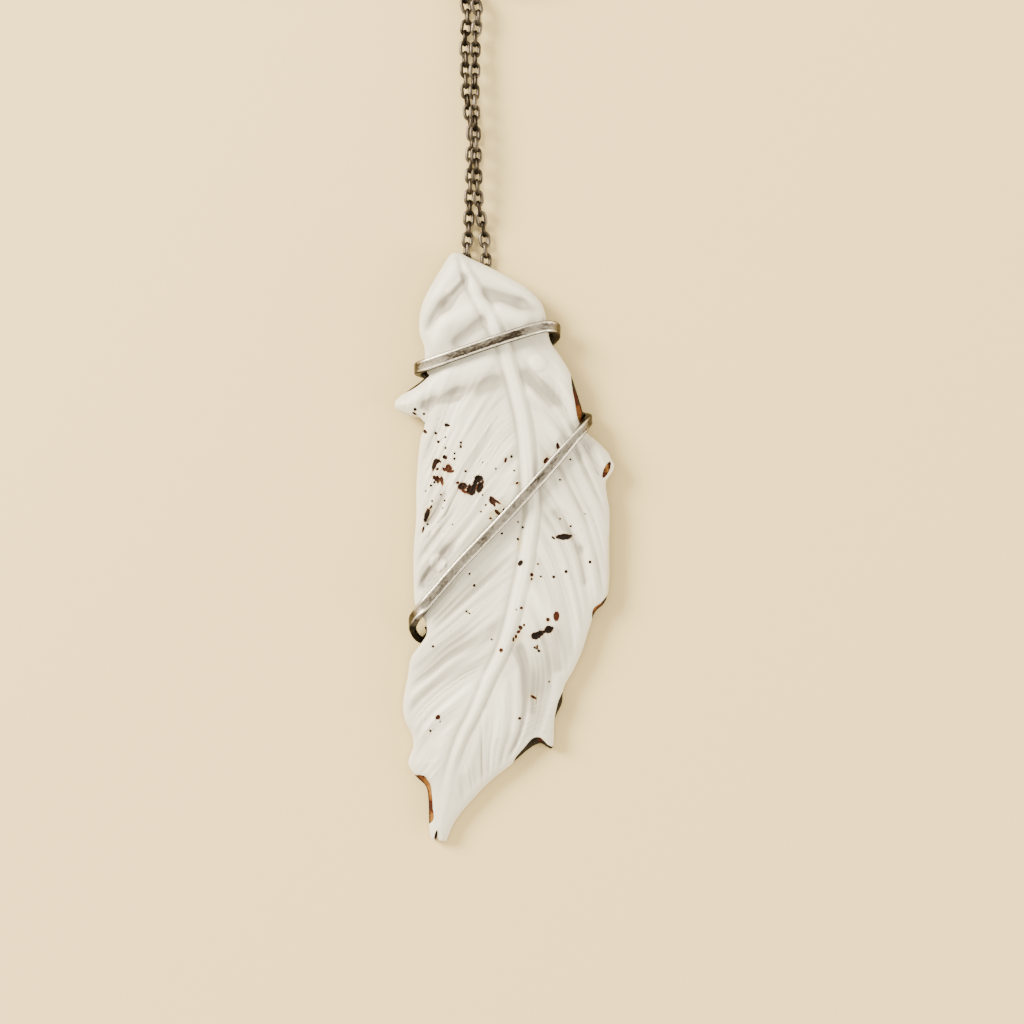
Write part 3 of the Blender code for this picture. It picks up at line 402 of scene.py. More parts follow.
def segment_distance(points, start, end):
    """Distance from each point to one straight segment."""
    start = np.array(start, float)
    run = np.array(end, float) - start
    offset = points - start
    share = np.clip((offset @ run) / (run @ run), 0.0, 1.0)
    return np.linalg.norm(offset - share[:, None] * run, axis=1)


def line_distance(points, line):
    """Distance from each point to a line drawn from the top down: below zero on its left in the plan."""
    best = np.full(len(points), 1e9)
    side = np.ones(len(points))
    for start, end in zip(line[:-1], line[1:]):
        distance = segment_distance(points, start, end)
        run, offset = end - start, points - start
        turn = run[1] * offset[:, 0] - run[0] * offset[:, 1]
        nearer = distance < best
        best[nearer] = distance[nearer]
        side[nearer] = np.sign(-turn[nearer])
    return best * side


def inside_loop(points, loop):
    crossings = np.zeros(len(points), int)
    for start, end in zip(loop, np.roll(loop, -1, axis=0)):
        spans = (start[1] > points[:, 1]) != (end[1] > points[:, 1])
        slope = (end[0] - start[0]) / ((end[1] - start[1]) or 1e-9)
        crossings += spans & (points[:, 0] < start[0] + slope * (points[:, 1] - start[1]))
    return crossings % 2 == 1


def loop_distance(points, loop):
    return np.abs(line_distance(points, np.concatenate([loop, loop[:1]])))


def ease(value, low, high):
    share = np.clip((value - low) / (high - low), 0.0, 1.0)
    return share * share * (3.0 - 2.0 * share)


def bell(distance, width, power=2):
    return np.exp(-(distance / width) ** power)


def lattice(i, j, seed):
    wave = np.sin(i * 127.1 + j * 311.7 + seed * 74.7) * 43758.5453
    return wave - np.floor(wave)


def noise(u, v, seed):
    """Smooth noise from 0 to 1 in two directions."""
    i, j = np.floor(u), np.floor(v)
    s, t = ease(u - i, 0.0, 1.0), ease(v - j, 0.0, 1.0)
    low = lattice(i, j, seed) * (1 - s) + lattice(i + 1, j, seed) * s
    high = lattice(i, j + 1, seed) * (1 - s) + lattice(i + 1, j + 1, seed) * s
    return low * (1 - t) + high * t


def ellipse_field(points, x, y, half_length, half_width, turn):
    """One at the ellipse's middle and zero at its edge, in units of its half width."""
    angle = math.radians(turn)
    offset = points - np.array((x, y))
    along = offset[:, 0] * math.cos(angle) + offset[:, 1] * math.sin(angle)
    across = -offset[:, 0] * math.sin(angle) + offset[:, 1] * math.cos(angle)
    return 1 - np.sqrt((along / half_length) ** 2 + (across / half_width) ** 2)


def all_spots():
    for x, y, half_length, half_width, turn, redness in BLOTCHES:
        yield x, y, SPOT_GROWTH * half_length, SPOT_GROWTH * half_width, turn, redness
    for x, y, radius in SPECKS:
        yield x, y, SPECK_GROWTH * radius, SPECK_GROWTH * radius, 0, SPECK_REDNESS


class Plaque:
    """The feather's outline, the heights of its front and back, and its wear."""

    def __init__(self):
        knots = np.array(PLAQUE_OUTLINE)
        self.edge = np.clip(smooth_path(PLAQUE_OUTLINE, EDGE_STEP, closed=True), knots.min(0), knots.max(0))
        self.coarse = smooth_path(PLAQUE_OUTLINE, COARSE_STEP, closed=True)
        self.midrib = smooth_path(MIDRIB, MIDRIB_STEP)
        self.glaze = smooth_path(GLAZE_OUTLINE, GLAZE_STEP, closed=True)

    def inset(self, points):
        return loop_distance(points, self.coarse)

    def inside(self, points):
        return inside_loop(points, self.edge)

    def rim(self, points):
        """Height of the edge's underside: it rises from the tip, and more by the wire's eye."""
        return (RIM_RISE * (points[:, 1] - TIP_Y)
                + HOOK_LIFT * bell(distances(points, HOOK_PLACE), HOOK_REACH))

    def back(self, points, inset):
        return self.rim(points) + HOLLOW_DEPTH * ease(inset, HOLLOW_START, HOLLOW_START + HOLLOW_RUN)

    def chip(self, points):
        """How far a place lies on the bare side of the glaze's edge."""
        worn = loop_distance(points, self.glaze) * np.where(inside_loop(points, self.glaze), -1, 1)
        return np.maximum(worn, ellipse_field(points, *RIGHT_CHIP) * RIGHT_CHIP[3])

    def barb_relief(self, points, away):
        """The folds and striations of the two vanes, which follow the barbs."""
        reach = np.abs(away)
        slope, curl, seed = (np.where(away < 0, *pair) for pair in (BARB_SLOPES, BARB_CURLS, BARB_SEEDS))
        slope = slope + TIP_SLOPE * ease(-points[:, 1], *TIP_BEND)
        fall = points[:, 1] + slope * reach + curl * reach ** 2
        fall = fall + BARB_WANDER * (noise(points[:, 0] / 3.0, points[:, 1] / 4.0, 5) - 0.5)
        broad, middle, fine = (noise(fall / across, reach / along, seed + k) - 0.5
                               for k, (across, along, _) in enumerate(BARB_LAYERS))
        middle = 0.5 - np.abs(middle) * 2
        return sum(row[2] * layer for row, layer in zip(BARB_LAYERS, (broad, middle, fine)))

    def rib_relief(self, points, away):
        reach = np.abs(away)
        half = np.interp(points[:, 1], *zip(*reversed(RIB_HALF_WIDTHS)))
        fade = ease(points[:, 1], *RIB_FADE)
        rib = MIDRIB_HEIGHT * bell(reach, half, 3) * (RIB_LOWEST + (1 - RIB_LOWEST) * fade)
        rib -= CREASE_DEPTH * bell(reach, CREASE_SHARE * half) * fade
        groove = GROOVE_DEPTH * bell(reach - half - GROOVE_PLACE, GROOVE_WIDTH)
        return (rib - groove) * ease(points[:, 1], *RIB_END)

    def relief(self, points, inset):
        """Height of the rib, barbs, folds and drops of glaze above the smooth dome."""
        away = line_distance(points, self.midrib)
        strength = ease(np.abs(away), *VANE_START) * (1 - CAP_PLAINNESS * ease(points[:, 1], *CAP_START))
        strength *= TIP_LOWEST + (1 - TIP_LOWEST) * ease(points[:, 1], *TIP_START)
        height = self.rib_relief(points, away) + strength * self.barb_relief(points, away)
        for x1, y1, x2, y2, half_width, amount in FOLDS:
            height += amount * bell(segment_distance(points, (x1, y1), (x2, y2)), half_width)
        height *= ease(inset, *RELIEF_START)
        for drop in GLAZE_DROPS:
            share = distances(points, drop) / DROP_RADIUS
            height += DROP_HEIGHT * np.sqrt(np.clip(1 - share ** 2, 0, 1))
        return height

    def front(self, points, inset, detail=True):
        height = self.rim(points) + EDGE_THICKNESS
        height += DOME_HEIGHT * (1 - (1 - np.clip(inset / DOME_RUN, 0, 1)) ** 2)
        rounding = 1 - np.clip(inset / EDGE_ROUNDING, 0, 1)
        height -= EDGE_ROUNDING * (1 - np.sqrt(1 - rounding ** 2))
        height += self.relief(points, inset)
        bead = BEAD_HEIGHT * bell(inset - BEAD_INSET, BEAD_WIDTH)
        height += bead * noise(points[:, 0] / 2.5, points[:, 1] / 2.5, 31)
        if detail:
            height -= GLAZE_THICKNESS * ease(self.chip(points), -0.03, 0.09)
            height -= SPOT_DEPTH * ease(self.spots(points)[0], 0.1, 0.6)
        return height

    def spots(self, points):
        """The rust spots' field, above zero inside them, and how red each place is."""
        field = np.full(len(points), -1.0)
        red = np.zeros(len(points))
        for x, y, half_length, half_width, turn, redness in all_spots():
            near = np.nonzero(distances(points, (x, y)) < 2.5 * max(half_length, half_width))[0]
            here = ellipse_field(points[near], x, y, half_length, half_width, turn)
            better = here > field[near]
            field[near[better]] = here[better]
            red[near[better]] = redness
        return field, red

    def stain(self, points):
        strength = np.zeros(len(points))
        for *ellipse, amount in STAINS:
            strength = np.maximum(strength, amount * ease(ellipse_field(points, *ellipse), -0.4, 0.9))
        return strength

    def rust(self, points, inset):
        strength = np.zeros(len(points))
        for x, y, radius, shade in RUST_PLACES:
            fall = 1 - ease(distances(points, (x, y)), 0.5 * radius, 1.3 * radius)
            strength = np.maximum(strength, shade * fall)
        return strength * ease(inset, 0.04, 0.22)

    def yellow(self, points, inset):
        low, high = YELLOW_EDGE
        along = ease(points[:, 1], low - 0.5, low + 0.3) * (1 - ease(points[:, 1], high - 0.3, high + 0.3))
        return along * (points[:, 0] > 10) * (1 - ease(inset, *YELLOW_WIDTH))

    def grid(self, step, margin, low=GRID_LOW, high=GRID_HIGH):
        """Points in a triangular grid inside the edge, no nearer to it than the margin."""
        rows = np.arange(low[1], high[1], step * math.sqrt(3) / 2)
        columns = np.arange(low[0], high[0], step)
        x = columns[None, :] + (np.arange(len(rows)) % 2)[:, None] * step / 2
        y = np.repeat(rows[:, None], len(columns), axis=1)
        places = np.stack([x.ravel(), y.ravel()], axis=1)
        places = places[self.inside(places)]
        return places[self.inset(places) > margin]

    def fine_places(self):
        """Closer points round each spot and along the chipped edges."""
        groups = []
        for x, y, half_length, *_ in BLOTCHES:
            size = half_length + SPOT_BORDER
            groups.append(self.grid(FINE_STEP, FINE_MARGIN, (x - size, y - size), (x + size, y + size)))
        for x, y, radius in SPECKS:
            for ring, count in SPECK_RINGS:
                angles = 2 * math.pi * np.arange(count) / count + 0.3
                circle = np.stack([np.cos(angles), np.sin(angles)], 1)
                groups.append(np.array((x, y)) + ring * radius * circle)
        band = self.grid(CHIP_STEP, FINE_MARGIN)
        band = band[self.inset(band) < CHIP_BAND]
        groups.append(band[np.abs(self.chip(band)) < CHIP_REACH])
        places = np.concatenate(groups)
        cells = np.round(places / (0.8 * FINE_STEP)).astype(int)
        _, first = np.unique(cells, axis=0, return_index=True)
        places = places[np.sort(first)]
        places = places[self.inside(places)]
        return places[self.inset(places) > 0.04]


def triangulate(edge, spots):
    """Triangles over the area inside the edge, using all the spots; the edge's points come first."""
    flat = [Vector(p) for p in edge] + [Vector(p) for p in spots]
    points, _, faces, *_ = delaunay_2d_cdt(flat, [], [list(range(len(edge)))], 1, 1e-7)
    if len(points) != len(flat):
        raise ValueError("the triangulation merged or added a point")
    return faces


def thin_out(coarse, fine, reach):
    """The coarse points that have no fine point nearer than about the reach."""
    cells = set(map(tuple, np.floor(fine / reach).astype(int)))
    keep = []
    for a, b in np.floor(coarse / reach).astype(int):
        keep.append(not any((a + p, b + q) in cells for p in (-1, 0, 1) for q in (-1, 0, 1)))
    return coarse[np.array(keep)]


def new_mesh(name, vertices, faces, smooth_angle=60.0):
    mesh = bpy.data.meshes.new(name)
    mesh.from_pydata([tuple(float(c) * MM for c in v) for v in vertices], [], faces)
    mesh.update()
    mesh.shade_smooth()
    mesh.set_sharp_from_angle(angle=math.radians(smooth_angle))
    piece = bpy.data.objects.new(name, mesh)
    bpy.context.scene.collection.objects.link(piece)
    turned = bmesh.new()
    turned.from_mesh(mesh)
    bmesh.ops.recalc_face_normals(turned, faces=turned.faces)
    turned.to_mesh(mesh)
    turned.free()
    return piece


def add_attributes(piece, **attributes):
    for name, values in attributes.items():
        layer = piece.data.attributes.new(name, "FLOAT", "POINT")
        layer.data.foreach_set("value", np.asarray(values, dtype=np.float32))


def build_plaque(plaque):
    fine = plaque.fine_places()
    face = thin_out(plaque.grid(FACE_STEP, FACE_MARGIN), fine, FINE_REACH)
    front = np.concatenate([face, fine])
    back = plaque.grid(BACK_STEP, BACK_MARGIN)
    ring = plaque.edge
    count = len(ring)
    on_edge = np.zeros(count)
    top = np.concatenate([ring, front])
    top_inset = np.concatenate([on_edge, plaque.inset(front)])
    top_height = plaque.front(top, top_inset)
    under = np.concatenate([ring, back])
    under_height = plaque.back(under, np.concatenate([on_edge, plaque.inset(back)]))
    layers = [(top, top_height, 0.0)]
    for share in (0.3, 0.65):
        heights = top_height[:count] * (1 - share) + under_height[:count] * share
        layers.append((ring, heights, share))
    layers.append((under, under_height, 1.0))
    starts = np.cumsum([0] + [len(layer[0]) for layer in layers[:-1]])
    flat = np.concatenate([layer[0] for layer in layers])
    heights = np.concatenate([layer[1] for layer in layers])
    depth = np.concatenate([np.full(len(layer[0]), layer[2]) for layer in layers])
    faces = [tuple(f) for f in triangulate(ring, front)]
    faces += [tuple(int(i + starts[-1]) for i in reversed(f)) for f in triangulate(ring, back)]
    for above, below in zip(starts[:-1].tolist(), starts[1:].tolist()):
        for i in range(count):
            j = (i + 1) % count
            faces.append((above + i, above + j, below + j, below + i))
    piece = new_mesh("glazed_feather", np.column_stack([flat, heights]), faces, 50.0)
    inset = np.concatenate([top_inset, np.zeros(len(flat) - len(top))])
    field, red = plaque.spots(flat)
    is_front = depth < 0.9
    # The relief attribute sets the glaze's painted shade in the hollows and painted highlight on the ridges.
    add_attributes(piece, spot=np.where(is_front, field, -1.0), spot_red=red, chip=plaque.chip(flat),
                   rust=plaque.rust(flat, inset), stain=plaque.stain(flat) * is_front,
                   yellow=plaque.yellow(flat, inset), depth=depth,
                   relief=plaque.relief(flat, inset) * is_front)
    return piece


def taut_heights(plaque, points):
    """Heights of a wire pulled tight over the front: the upper hull of the profile under it."""
    run = path_lengths(points)
    profile = np.full(len(points), -1e9)
    half = WIRE_WIDTH / 2
    for offset in ((0, 0), (half, 0), (-half, 0), (0, half), (0, -half)):
        beside = points + np.array(offset)
        height = plaque.front(beside, plaque.inset(beside), detail=False)
        height[~plaque.inside(beside)] = -1e9
        profile = np.maximum(profile, height)
    hull = []
    for place in zip(run, profile):
        while len(hull) > 1:
            (x1, z1), (x2, z2) = hull[-2], hull[-1]
            if (z2 - z1) * (place[0] - x1) > (place[1] - z1) * (x2 - x1):
                break
            hull.pop()
        hull.append(place)
    return np.interp(run, *zip(*hull))


def wire_route(plaque):
    """The wire's middle, the way that its flat face looks, its width and thickness, from start to end."""
    lift = WIRE_THICKNESS / 2 + WIRE_CLEARANCE
    passes = []
    for knots in (FIRST_PASS, SECOND_PASS):
        plan = even_path(knots, WIRE_POINT_STEP)
        passes.append([(x, y, z + lift, *UP) for (x, y), z in zip(plan, taut_heights(plaque, plan))])
    first, second = passes
    route = [(*row, WIRE_WIDTH, WIRE_THICKNESS) for row in (*WIRE_START, *first, *WIRE_BACK)]
    route += [(*row, BEND_WIDTH, WIRE_THICKNESS) for row in WIRE_RIGHT]
    for row in second:
        width = BEND_WIDTH + (WIRE_WIDTH - BEND_WIDTH) * float(ease(-row[0], *WIDENING))
        route.append((*row, width, WIRE_THICKNESS))
    route += [(*row, WIRE_WIDTH, WIRE_THICKNESS) for row in WIRE_TURN]
    return route + [(*row, EYE_WIDTH, EYE_THICKNESS) for row in WIRE_EYE]


def wire_section(half_width, half_thick):
    """The wire's section as (across, outward, its surface's direction), with rounded corners."""
    corner = WIRE_CHAMFER
    points = []
    for quarter, (sx, sy) in enumerate(((1, 1), (-1, 1), (-1, -1), (1, -1))):
        centre = (sx * (half_width - corner), sy * (half_thick - corner))
        for k in range(5):
            angle = math.pi / 2 * (quarter + k / 4)
            c, w = math.cos(angle), math.sin(angle)
            points.append((centre[0] + corner * c, centre[1] + corner * w, c, w))
        if quarter % 2 == 0:
            for share in (0.6, 0.2, -0.2, -0.6):
                points.append((sx * share * half_width, sy * (half_thick - 0.01), 0.0, sy))
    return points


def wire_tarnish(x, y, z):
    # Below the front height the wire bends round the edges or runs behind: tarnish and painted shade.
    if z <= FRONT_HEIGHT:
        return BACK_TARNISH_AND_SHADE
    if y <= FIRST_PASS_Y:
        return FRONT_TARNISH
    return FRONT_TARNISH + MIDDLE_TARNISH * float(ease(x, *MIDDLE_LEFT) * (1 - ease(x, *MIDDLE_RIGHT)))


def ring_faces(rings, sides, closed=False):
    """Faces between rings of points, with an end face on each end ring unless the rings close."""
    faces = []
    for i in range(rings if closed else rings - 1):
        this, following = i * sides, (i + 1) % rings * sides
        for k in range(sides):
            j = (k + 1) % sides
            faces.append((this + k, this + j, following + j, following + k))
    if not closed:
        last = (rings - 1) * sides
        faces += [tuple(range(sides - 1, -1, -1)), tuple(range(last, last + sides))]
    return faces


def build_wire(plaque):
    path = even_path(wire_route(plaque), WIRE_STEP)
    vertices, across_wire, upward, from_end, tarnish = [], [], [], [], []
    lengths = path_lengths(path[:, :3])
    highest = CAD_BOX[1][2] / MM
    for i, row in enumerate(path):
        before = Vector(path[max(i - 1, 0)][:3])
        after = Vector(path[min(i + 1, len(path) - 1)][:3])
        along = (after - before).normalized()
        outward = Vector(row[3:6])
        outward = (outward - outward.dot(along) * along).normalized()
        across = along.cross(outward)
        centre = Vector(row[:3])
        waver = 1 - WIRE_WAVER * float(noise(np.array(lengths[i] / WAVER_LENGTH), np.array(3.0), 41))
        for a, b, c, w in wire_section(row[6] / 2, row[7] / 2):
            corner = centre + across * a * waver + outward * b * waver
            vertices.append((corner.x, corner.y, min(max(corner.z, 0.0), highest)))
            across_wire.append(2 * a / row[6])
            # How far each point's surface faces up, which sets the wire's painted shade.
            upward.append((across * c + outward * w).z)
            from_end.append(lengths[-1] - lengths[i])
            tarnish.append(wire_tarnish(*row[:3]))
    piece = new_mesh("flat_wrap_wire", vertices, ring_faces(len(path), len(vertices) // len(path)))
    add_attributes(piece, across=across_wire, upward=upward, from_end=from_end, tarnish=tarnish)
    return piece


def sweep(path, radius, sides, closed=False):
    """The rings of points of a round wire along a path, with even frames."""
    path = [Vector(p) for p in path]
    count = len(path)
    side = None
    vertices = []
    for i, place in enumerate(path):
        before, after = (i - 1, (i + 1) % count) if closed else (max(i - 1, 0), min(i + 1, count - 1))
        tangent = (path[after] - path[before]).normalized()
        if side is None:
            side = tangent.orthogonal().normalized()
        side = (side - side.dot(tangent) * tangent).normalized()
        up = tangent.cross(side)
        for k in range(sides):
            angle = 2 * math.pi * k / sides
            vertices.append(tuple(place + radius * (math.cos(angle) * side + math.sin(angle) * up)))
    return vertices


def build_tube(name, points, diameter, closed=False, sides=16):
    path = smooth_path(points, 0.1, closed)
    return new_mesh(name, sweep(path, diameter / 2, sides, closed), ring_faces(len(path), sides, closed))


def strand_path(route, above, end_radius, turns):
    """A strand's middle: from inside the bail, along the surface, and round the coil to the clasp."""
    flat = CHAIN_WIDTH / 2 + FLOOR_GAP
    in_bail = BAIL_BOTTOM_GAP + BAIL_WIRE + CHAIN_WIDTH / 2 + 0.06
    reach = CHAIN_WIDTH + CHAIN_CLEARANCE
    left_x, left_y = zip(*LEFT_ROUTE[2:])
    places = []
    for x, y in route:
        z = flat + (in_bail - flat) * float(1 - ease(y, *BAIL_RAMP))
        if above and y > CROSSING_START:
            apart = x - np.interp(y, left_y, left_x)
            z = max(z, flat + math.sqrt(max(0.0, reach ** 2 - apart ** 2)))
        places.append((x, y, z))
    layer = flat + (LAYER_HEIGHT if above else 0.0)
    inner = COIL_OUTER_RADIUS - COIL_TURN_PITCH * turns
    steps = round(turns * COIL_POINTS)
    for i in range(steps + 1):
        share = i / steps
        angle = math.radians(COIL_ENTRY_DEG - 360 * turns * share)
        dip = float(ease(share, 1 - DIP_TURN / turns, 1.0))
        radius = COIL_OUTER_RADIUS - COIL_TURN_PITCH * turns * share + (end_radius - inner) * dip
        places.append((COIL_CENTRE[0] + radius * math.cos(angle),
                       COIL_CENTRE[1] + radius * math.sin(angle), layer))
    return even_path(places, CHAIN_STEP)


def link_shape():
    """One link's wire: two straight sides and two round ends, in its own plane."""
    half_wide = (CHAIN_WIDTH - LINK_WIRE) / 2
    straight = (LINK_LENGTH - LINK_WIRE) / 2 - half_wide
    points = []
    for end in (1, -1):
        for k in range(7):
            angle = math.pi * k / 6 - math.pi / 2 + (0 if end == 1 else math.pi)
            points.append((end * straight + half_wide * math.cos(angle), half_wide * math.sin(angle)))
        points.append((0.0, end * half_wide))
    return points


def build_chain(name, path, seed):
    """Interlinked cable-chain links along the path, alternately flat and on edge."""
    lengths = path_lengths(path)
    count = int(lengths[-1] / LINK_PITCH)
    loop = link_shape()
    vertices, faces, tone = [], [], []
    for i in range(count + 1):
        place = i * lengths[-1] / count
        centre, ahead, behind = (Vector([float(np.interp(p, lengths, path[:, k])) for k in range(3)])
                                 for p in (place, place + 0.5, place - 0.5))
        along = (ahead - behind).normalized()
        level = Vector(UP).cross(along).normalized()
        up = along.cross(level)
        sway, shine = (float(lattice(np.array(float(i)), np.array(draw), seed)) for draw in (0.0, 1.0))
        turn = math.radians(LINK_TILTS[i % 2] + LINK_SWAY * (sway - 0.5))
        across = math.cos(turn) * level + math.sin(turn) * up
        points = [centre + a * along + b * across for a, b in loop]
        start = len(vertices)
        rings = sweep(points, LINK_WIRE / 2, LINK_SIDES, closed=True)
        vertices += [(x, y, max(z, 0.0)) for x, y, z in rings]
        faces += [tuple(start + v for v in face) for face in ring_faces(len(points), LINK_SIDES, True)]
        # Painted light: every flat link, which faces up, is lighter than those on edge, and painted shade
        # darkens each link towards its ends, where it passes through its neighbours; the random shine is
        # rubbing.
        shade = 0.5 * shine + (0.25 if i % 2 == 0 else 0.0)
        for a, _ in loop:
            tone += [shade + 0.35 * (1 - abs(a) / LINK_LENGTH * 2)] * LINK_SIDES
    piece = new_mesh(name, vertices, faces, 80.0)
    add_attributes(piece, tone=tone)
    return piece


def bail_points(plaque):
    low = BAIL_BOTTOM_GAP + BAIL_WIRE / 2
    (x1, y1), (x2, y2) = feet = BAIL_FOOT_UPPER, BAIL_FOOT_LOWER
    top, end = plaque.back(np.array(feet), plaque.inset(np.array(feet))) - 0.05
    bend, part = BAIL_BEND, 0.3 * BAIL_BEND
    return ((x1, y1, top), (x1, y1, low + bend), (x1, y1 - part, low + part), (x1, y1 - bend, low),
            (x2, y2 + bend, low), (x2, y2 + part, low + part), (x2, y2, low + bend), (x2, y2, end))


def arc(x, y, z, radius, start_deg, turn_deg, steps):
    angles = [math.radians(start_deg + turn_deg * k / steps) for k in range(steps + 1)]
    return [(x + radius * math.cos(a), y + radius * math.sin(a), z) for a in angles]


def hook_points():
    """The hook's eye, its shank rising over the eye's end, and its bow."""
    cx, cy = COIL_CENTRE
    z = CLASP_WIRE / 2 + FLOOR_GAP
    return [*arc(cx - 3.0, cy, z, 0.85, 160, -310, 10),
            (cx - 1.2, cy - 0.2, z + 0.12), (cx + 0.4, cy - 0.75, z + 0.35),
            *arc(cx + 1.5, cy + 0.1, z + 0.62, 1.0, -90, 180, 8),
            (cx + 0.6, cy + 1.15, z + 0.62), (cx - 0.3, cy + 1.35, z + 0.55)]


def ring_points():
    cx, cy = COIL_CENTRE
    centre_z = RING_RADIUS + RING_WIRE / 2 + FLOOR_GAP
    return [(x, cy + 0.1, z) for x, z, _ in arc(cx + 2.9, centre_z, 0.0, RING_RADIUS, 0, 360, 20)[:-1]]


class Nodes:
    """Short calls for a material's nodes and links."""

    def __init__(self, name, **settings):
        self.material = bpy.data.materials.new(name)
        self.material.use_nodes = True
        self.tree = self.material.node_tree
        self.shader = self.tree.nodes["Principled BSDF"]
        for key, value in settings.items():
            self.shader.inputs[key.replace("_", " ")].default_value = value

    def node(self, kind, output, **inputs):
        node = self.tree.nodes.new(f"ShaderNode{kind}")
        for name, value in inputs.items():
            self.link(value, node.inputs[name])
        return node.outputs[output]

    def link(self, value, socket):
        if hasattr(value, "is_linked"):
            self.tree.links.new(value, socket)
        else:
            socket.default_value = value

    def attribute(self, name):
        node = self.tree.nodes.new("ShaderNodeAttribute")
        node.attribute_name = name
        return node.outputs["Fac"]

    def noise(self, scale_mm, detail=3.0, roughness=0.5, distortion=0.0):
        return self.node("TexNoise", "Fac", Vector=self.node("TexCoord", "Object"), Scale=1 / (scale_mm * MM),
                         Detail=detail, Roughness=roughness, Distortion=distortion)

    def streaks(self, along, across, scale_mm, stretch):
        """Noise drawn out along a wire."""
        place = self.node("CombineXYZ", "Vector", X=self.times(along, 1 / (scale_mm * stretch)),
                          Y=self.times(across, 0.5 / scale_mm))
        return self.node("TexNoise", "Fac", Vector=place, Scale=1.0, Detail=4.0, Roughness=0.6)

    def math(self, operation, a, b=0.0):
        node = self.tree.nodes.new("ShaderNodeMath")
        node.operation = operation
        self.link(a, node.inputs[0])
        self.link(b, node.inputs[1])
        return node.outputs[0]

    def plus(self, a, b):
        return self.math("ADD", a, b)

    def times(self, a, b):
        return self.math("MULTIPLY", a, b)

    def vary(self, value, noise, amount, middle=0.5):
        """The value, moved up and down by a noise round its middle."""
        return self.plus(value, self.times(self.math("SUBTRACT", noise, middle), amount))

    def span(self, value, low, high, start=0.0, end=1.0):
        node = self.tree.nodes.new("ShaderNodeMapRange")
        node.interpolation_type = "SMOOTHSTEP"
        for i, given in enumerate((value, low, high, start, end)):
            self.link(given, node.inputs[i])
        return node.outputs["Result"]

    def mix(self, share, first, second):
        node = self.tree.nodes.new("ShaderNodeMix")
        node.data_type = "RGBA"
        self.link(share, node.inputs[0])
        for socket, colour in ((6, first), (7, second)):
            self.link((*colour, 1.0) if isinstance(colour, tuple) else colour, node.inputs[socket])
        return node.outputs[2]

    def finish(self, colour, rough, height, distance_mm, strength):
        normal = self.node("Bump", "Normal", Strength=strength, Distance=distance_mm * MM, Height=height)
        for value, name in ((colour, "Base Color"), (rough, "Roughness"), (normal, "Normal")):
            self.link(value, self.shader.inputs[name])
        return self.material


def glaze_material():
    """White fired glaze, with painted shade in its hollows and painted highlight on its ridges, rust spots,
    stains, bare iron at the chips and a dark back.
    """
    n = Nodes("fired_white_glaze", IOR=1.5, Specular_IOR_Level=0.12)
    cloud = n.noise(6.0)
    patch = n.noise(0.5, 2.0)
    grain = n.noise(0.35, 4.0, 0.6)
    ragged = n.noise(0.16, 3.0, 0.6, 0.6)
    # Painted shade greys the glaze in the relief's hollows, and a painted highlight makes it whitest on the
    # ridges.
    painted_relief_light = n.vary(n.attribute("relief"), cloud, 0.25)
    white = n.mix(n.span(painted_relief_light, -0.22, 0.04), (0.37, 0.34, 0.30), (0.735, 0.69, 0.605))
    white = n.mix(n.span(painted_relief_light, 0.0, 0.30), white, (0.90, 0.87, 0.775))
    stain = n.times(n.attribute("stain"), n.span(grain, 0.3, 0.6, 0.45, 1.0))
    stain_colour = n.mix(n.span(cloud, 0.45, 0.55), (0.47, 0.33, 0.16), (0.52, 0.44, 0.20))
    colour = n.mix(stain, white, stain_colour)
    yellow = n.times(n.attribute("yellow"), n.span(grain, 0.2, 0.45, 0.6, 0.9))
    colour = n.mix(yellow, colour, (0.60, 0.56, 0.33))
    # Rust spots have ragged edges, red-brown rims with golden grains, black middles and a faint halo.
    red = n.attribute("spot_red")
    field = n.vary(n.vary(n.attribute("spot"), ragged, 0.6), patch, 0.5, middle=0.35)
    rim_colour = n.mix(red, (0.045, 0.012, 0.004), (0.080, 0.014, 0.004))
    rim_colour = n.mix(n.span(grain, 0.5, 0.75), rim_colour, (0.19, 0.078, 0.016))
    core = n.times(n.span(n.vary(field, patch, 0.9), 0.02, 0.20), n.math("SUBTRACT", 1.0, n.times(red, 0.55)))
    spot_colour = n.mix(core, rim_colour, (0.002, 0.001, 0.0007))
    colour = n.mix(n.times(n.span(field, -0.55, 0.0), 0.30), colour, (0.42, 0.27, 0.12))
    spot = n.span(field, -0.04, 0.08)
    colour = n.mix(spot, colour, spot_colour)
    # Bare iron at the chips, from black through dark red and brown to gold where it is rusted.
    iron = n.mix(n.span(grain, 0.4, 0.65), (0.004, 0.003, 0.002), (0.022, 0.014, 0.008))
    rust = n.vary(n.attribute("rust"), ragged, 0.45)
    for low, high, shade in ((0.12, 0.38, (0.042, 0.007, 0.003)), (0.45, 0.68, (0.11, 0.036, 0.008)),
                             (0.72, 1.0, (0.21, 0.10, 0.020))):
        iron = n.mix(n.span(rust, low, high), iron, shade)
    bare = n.span(n.vary(n.attribute("chip"), ragged, 0.10), 0.0, 0.035)
    colour = n.mix(bare, colour, iron)
    back = n.span(n.vary(n.attribute("depth"), grain, 0.25), 0.72, 0.86)
    dark = n.mix(n.span(cloud, 0.5, 0.7), (0.022, 0.018, 0.015), (0.085, 0.040, 0.020))
    colour = n.mix(back, colour, dark)
    worn = n.math("MAXIMUM", n.math("MAXIMUM", spot, bare), back)
    rough = n.plus(n.span(grain, 0.3, 0.7, 0.24, 0.34), n.times(worn, 0.42))
    height = n.plus(n.times(cloud, 0.4), n.times(grain, n.plus(worn, 0.12)))
    return n.finish(colour, rough, height, 0.05, 0.5)


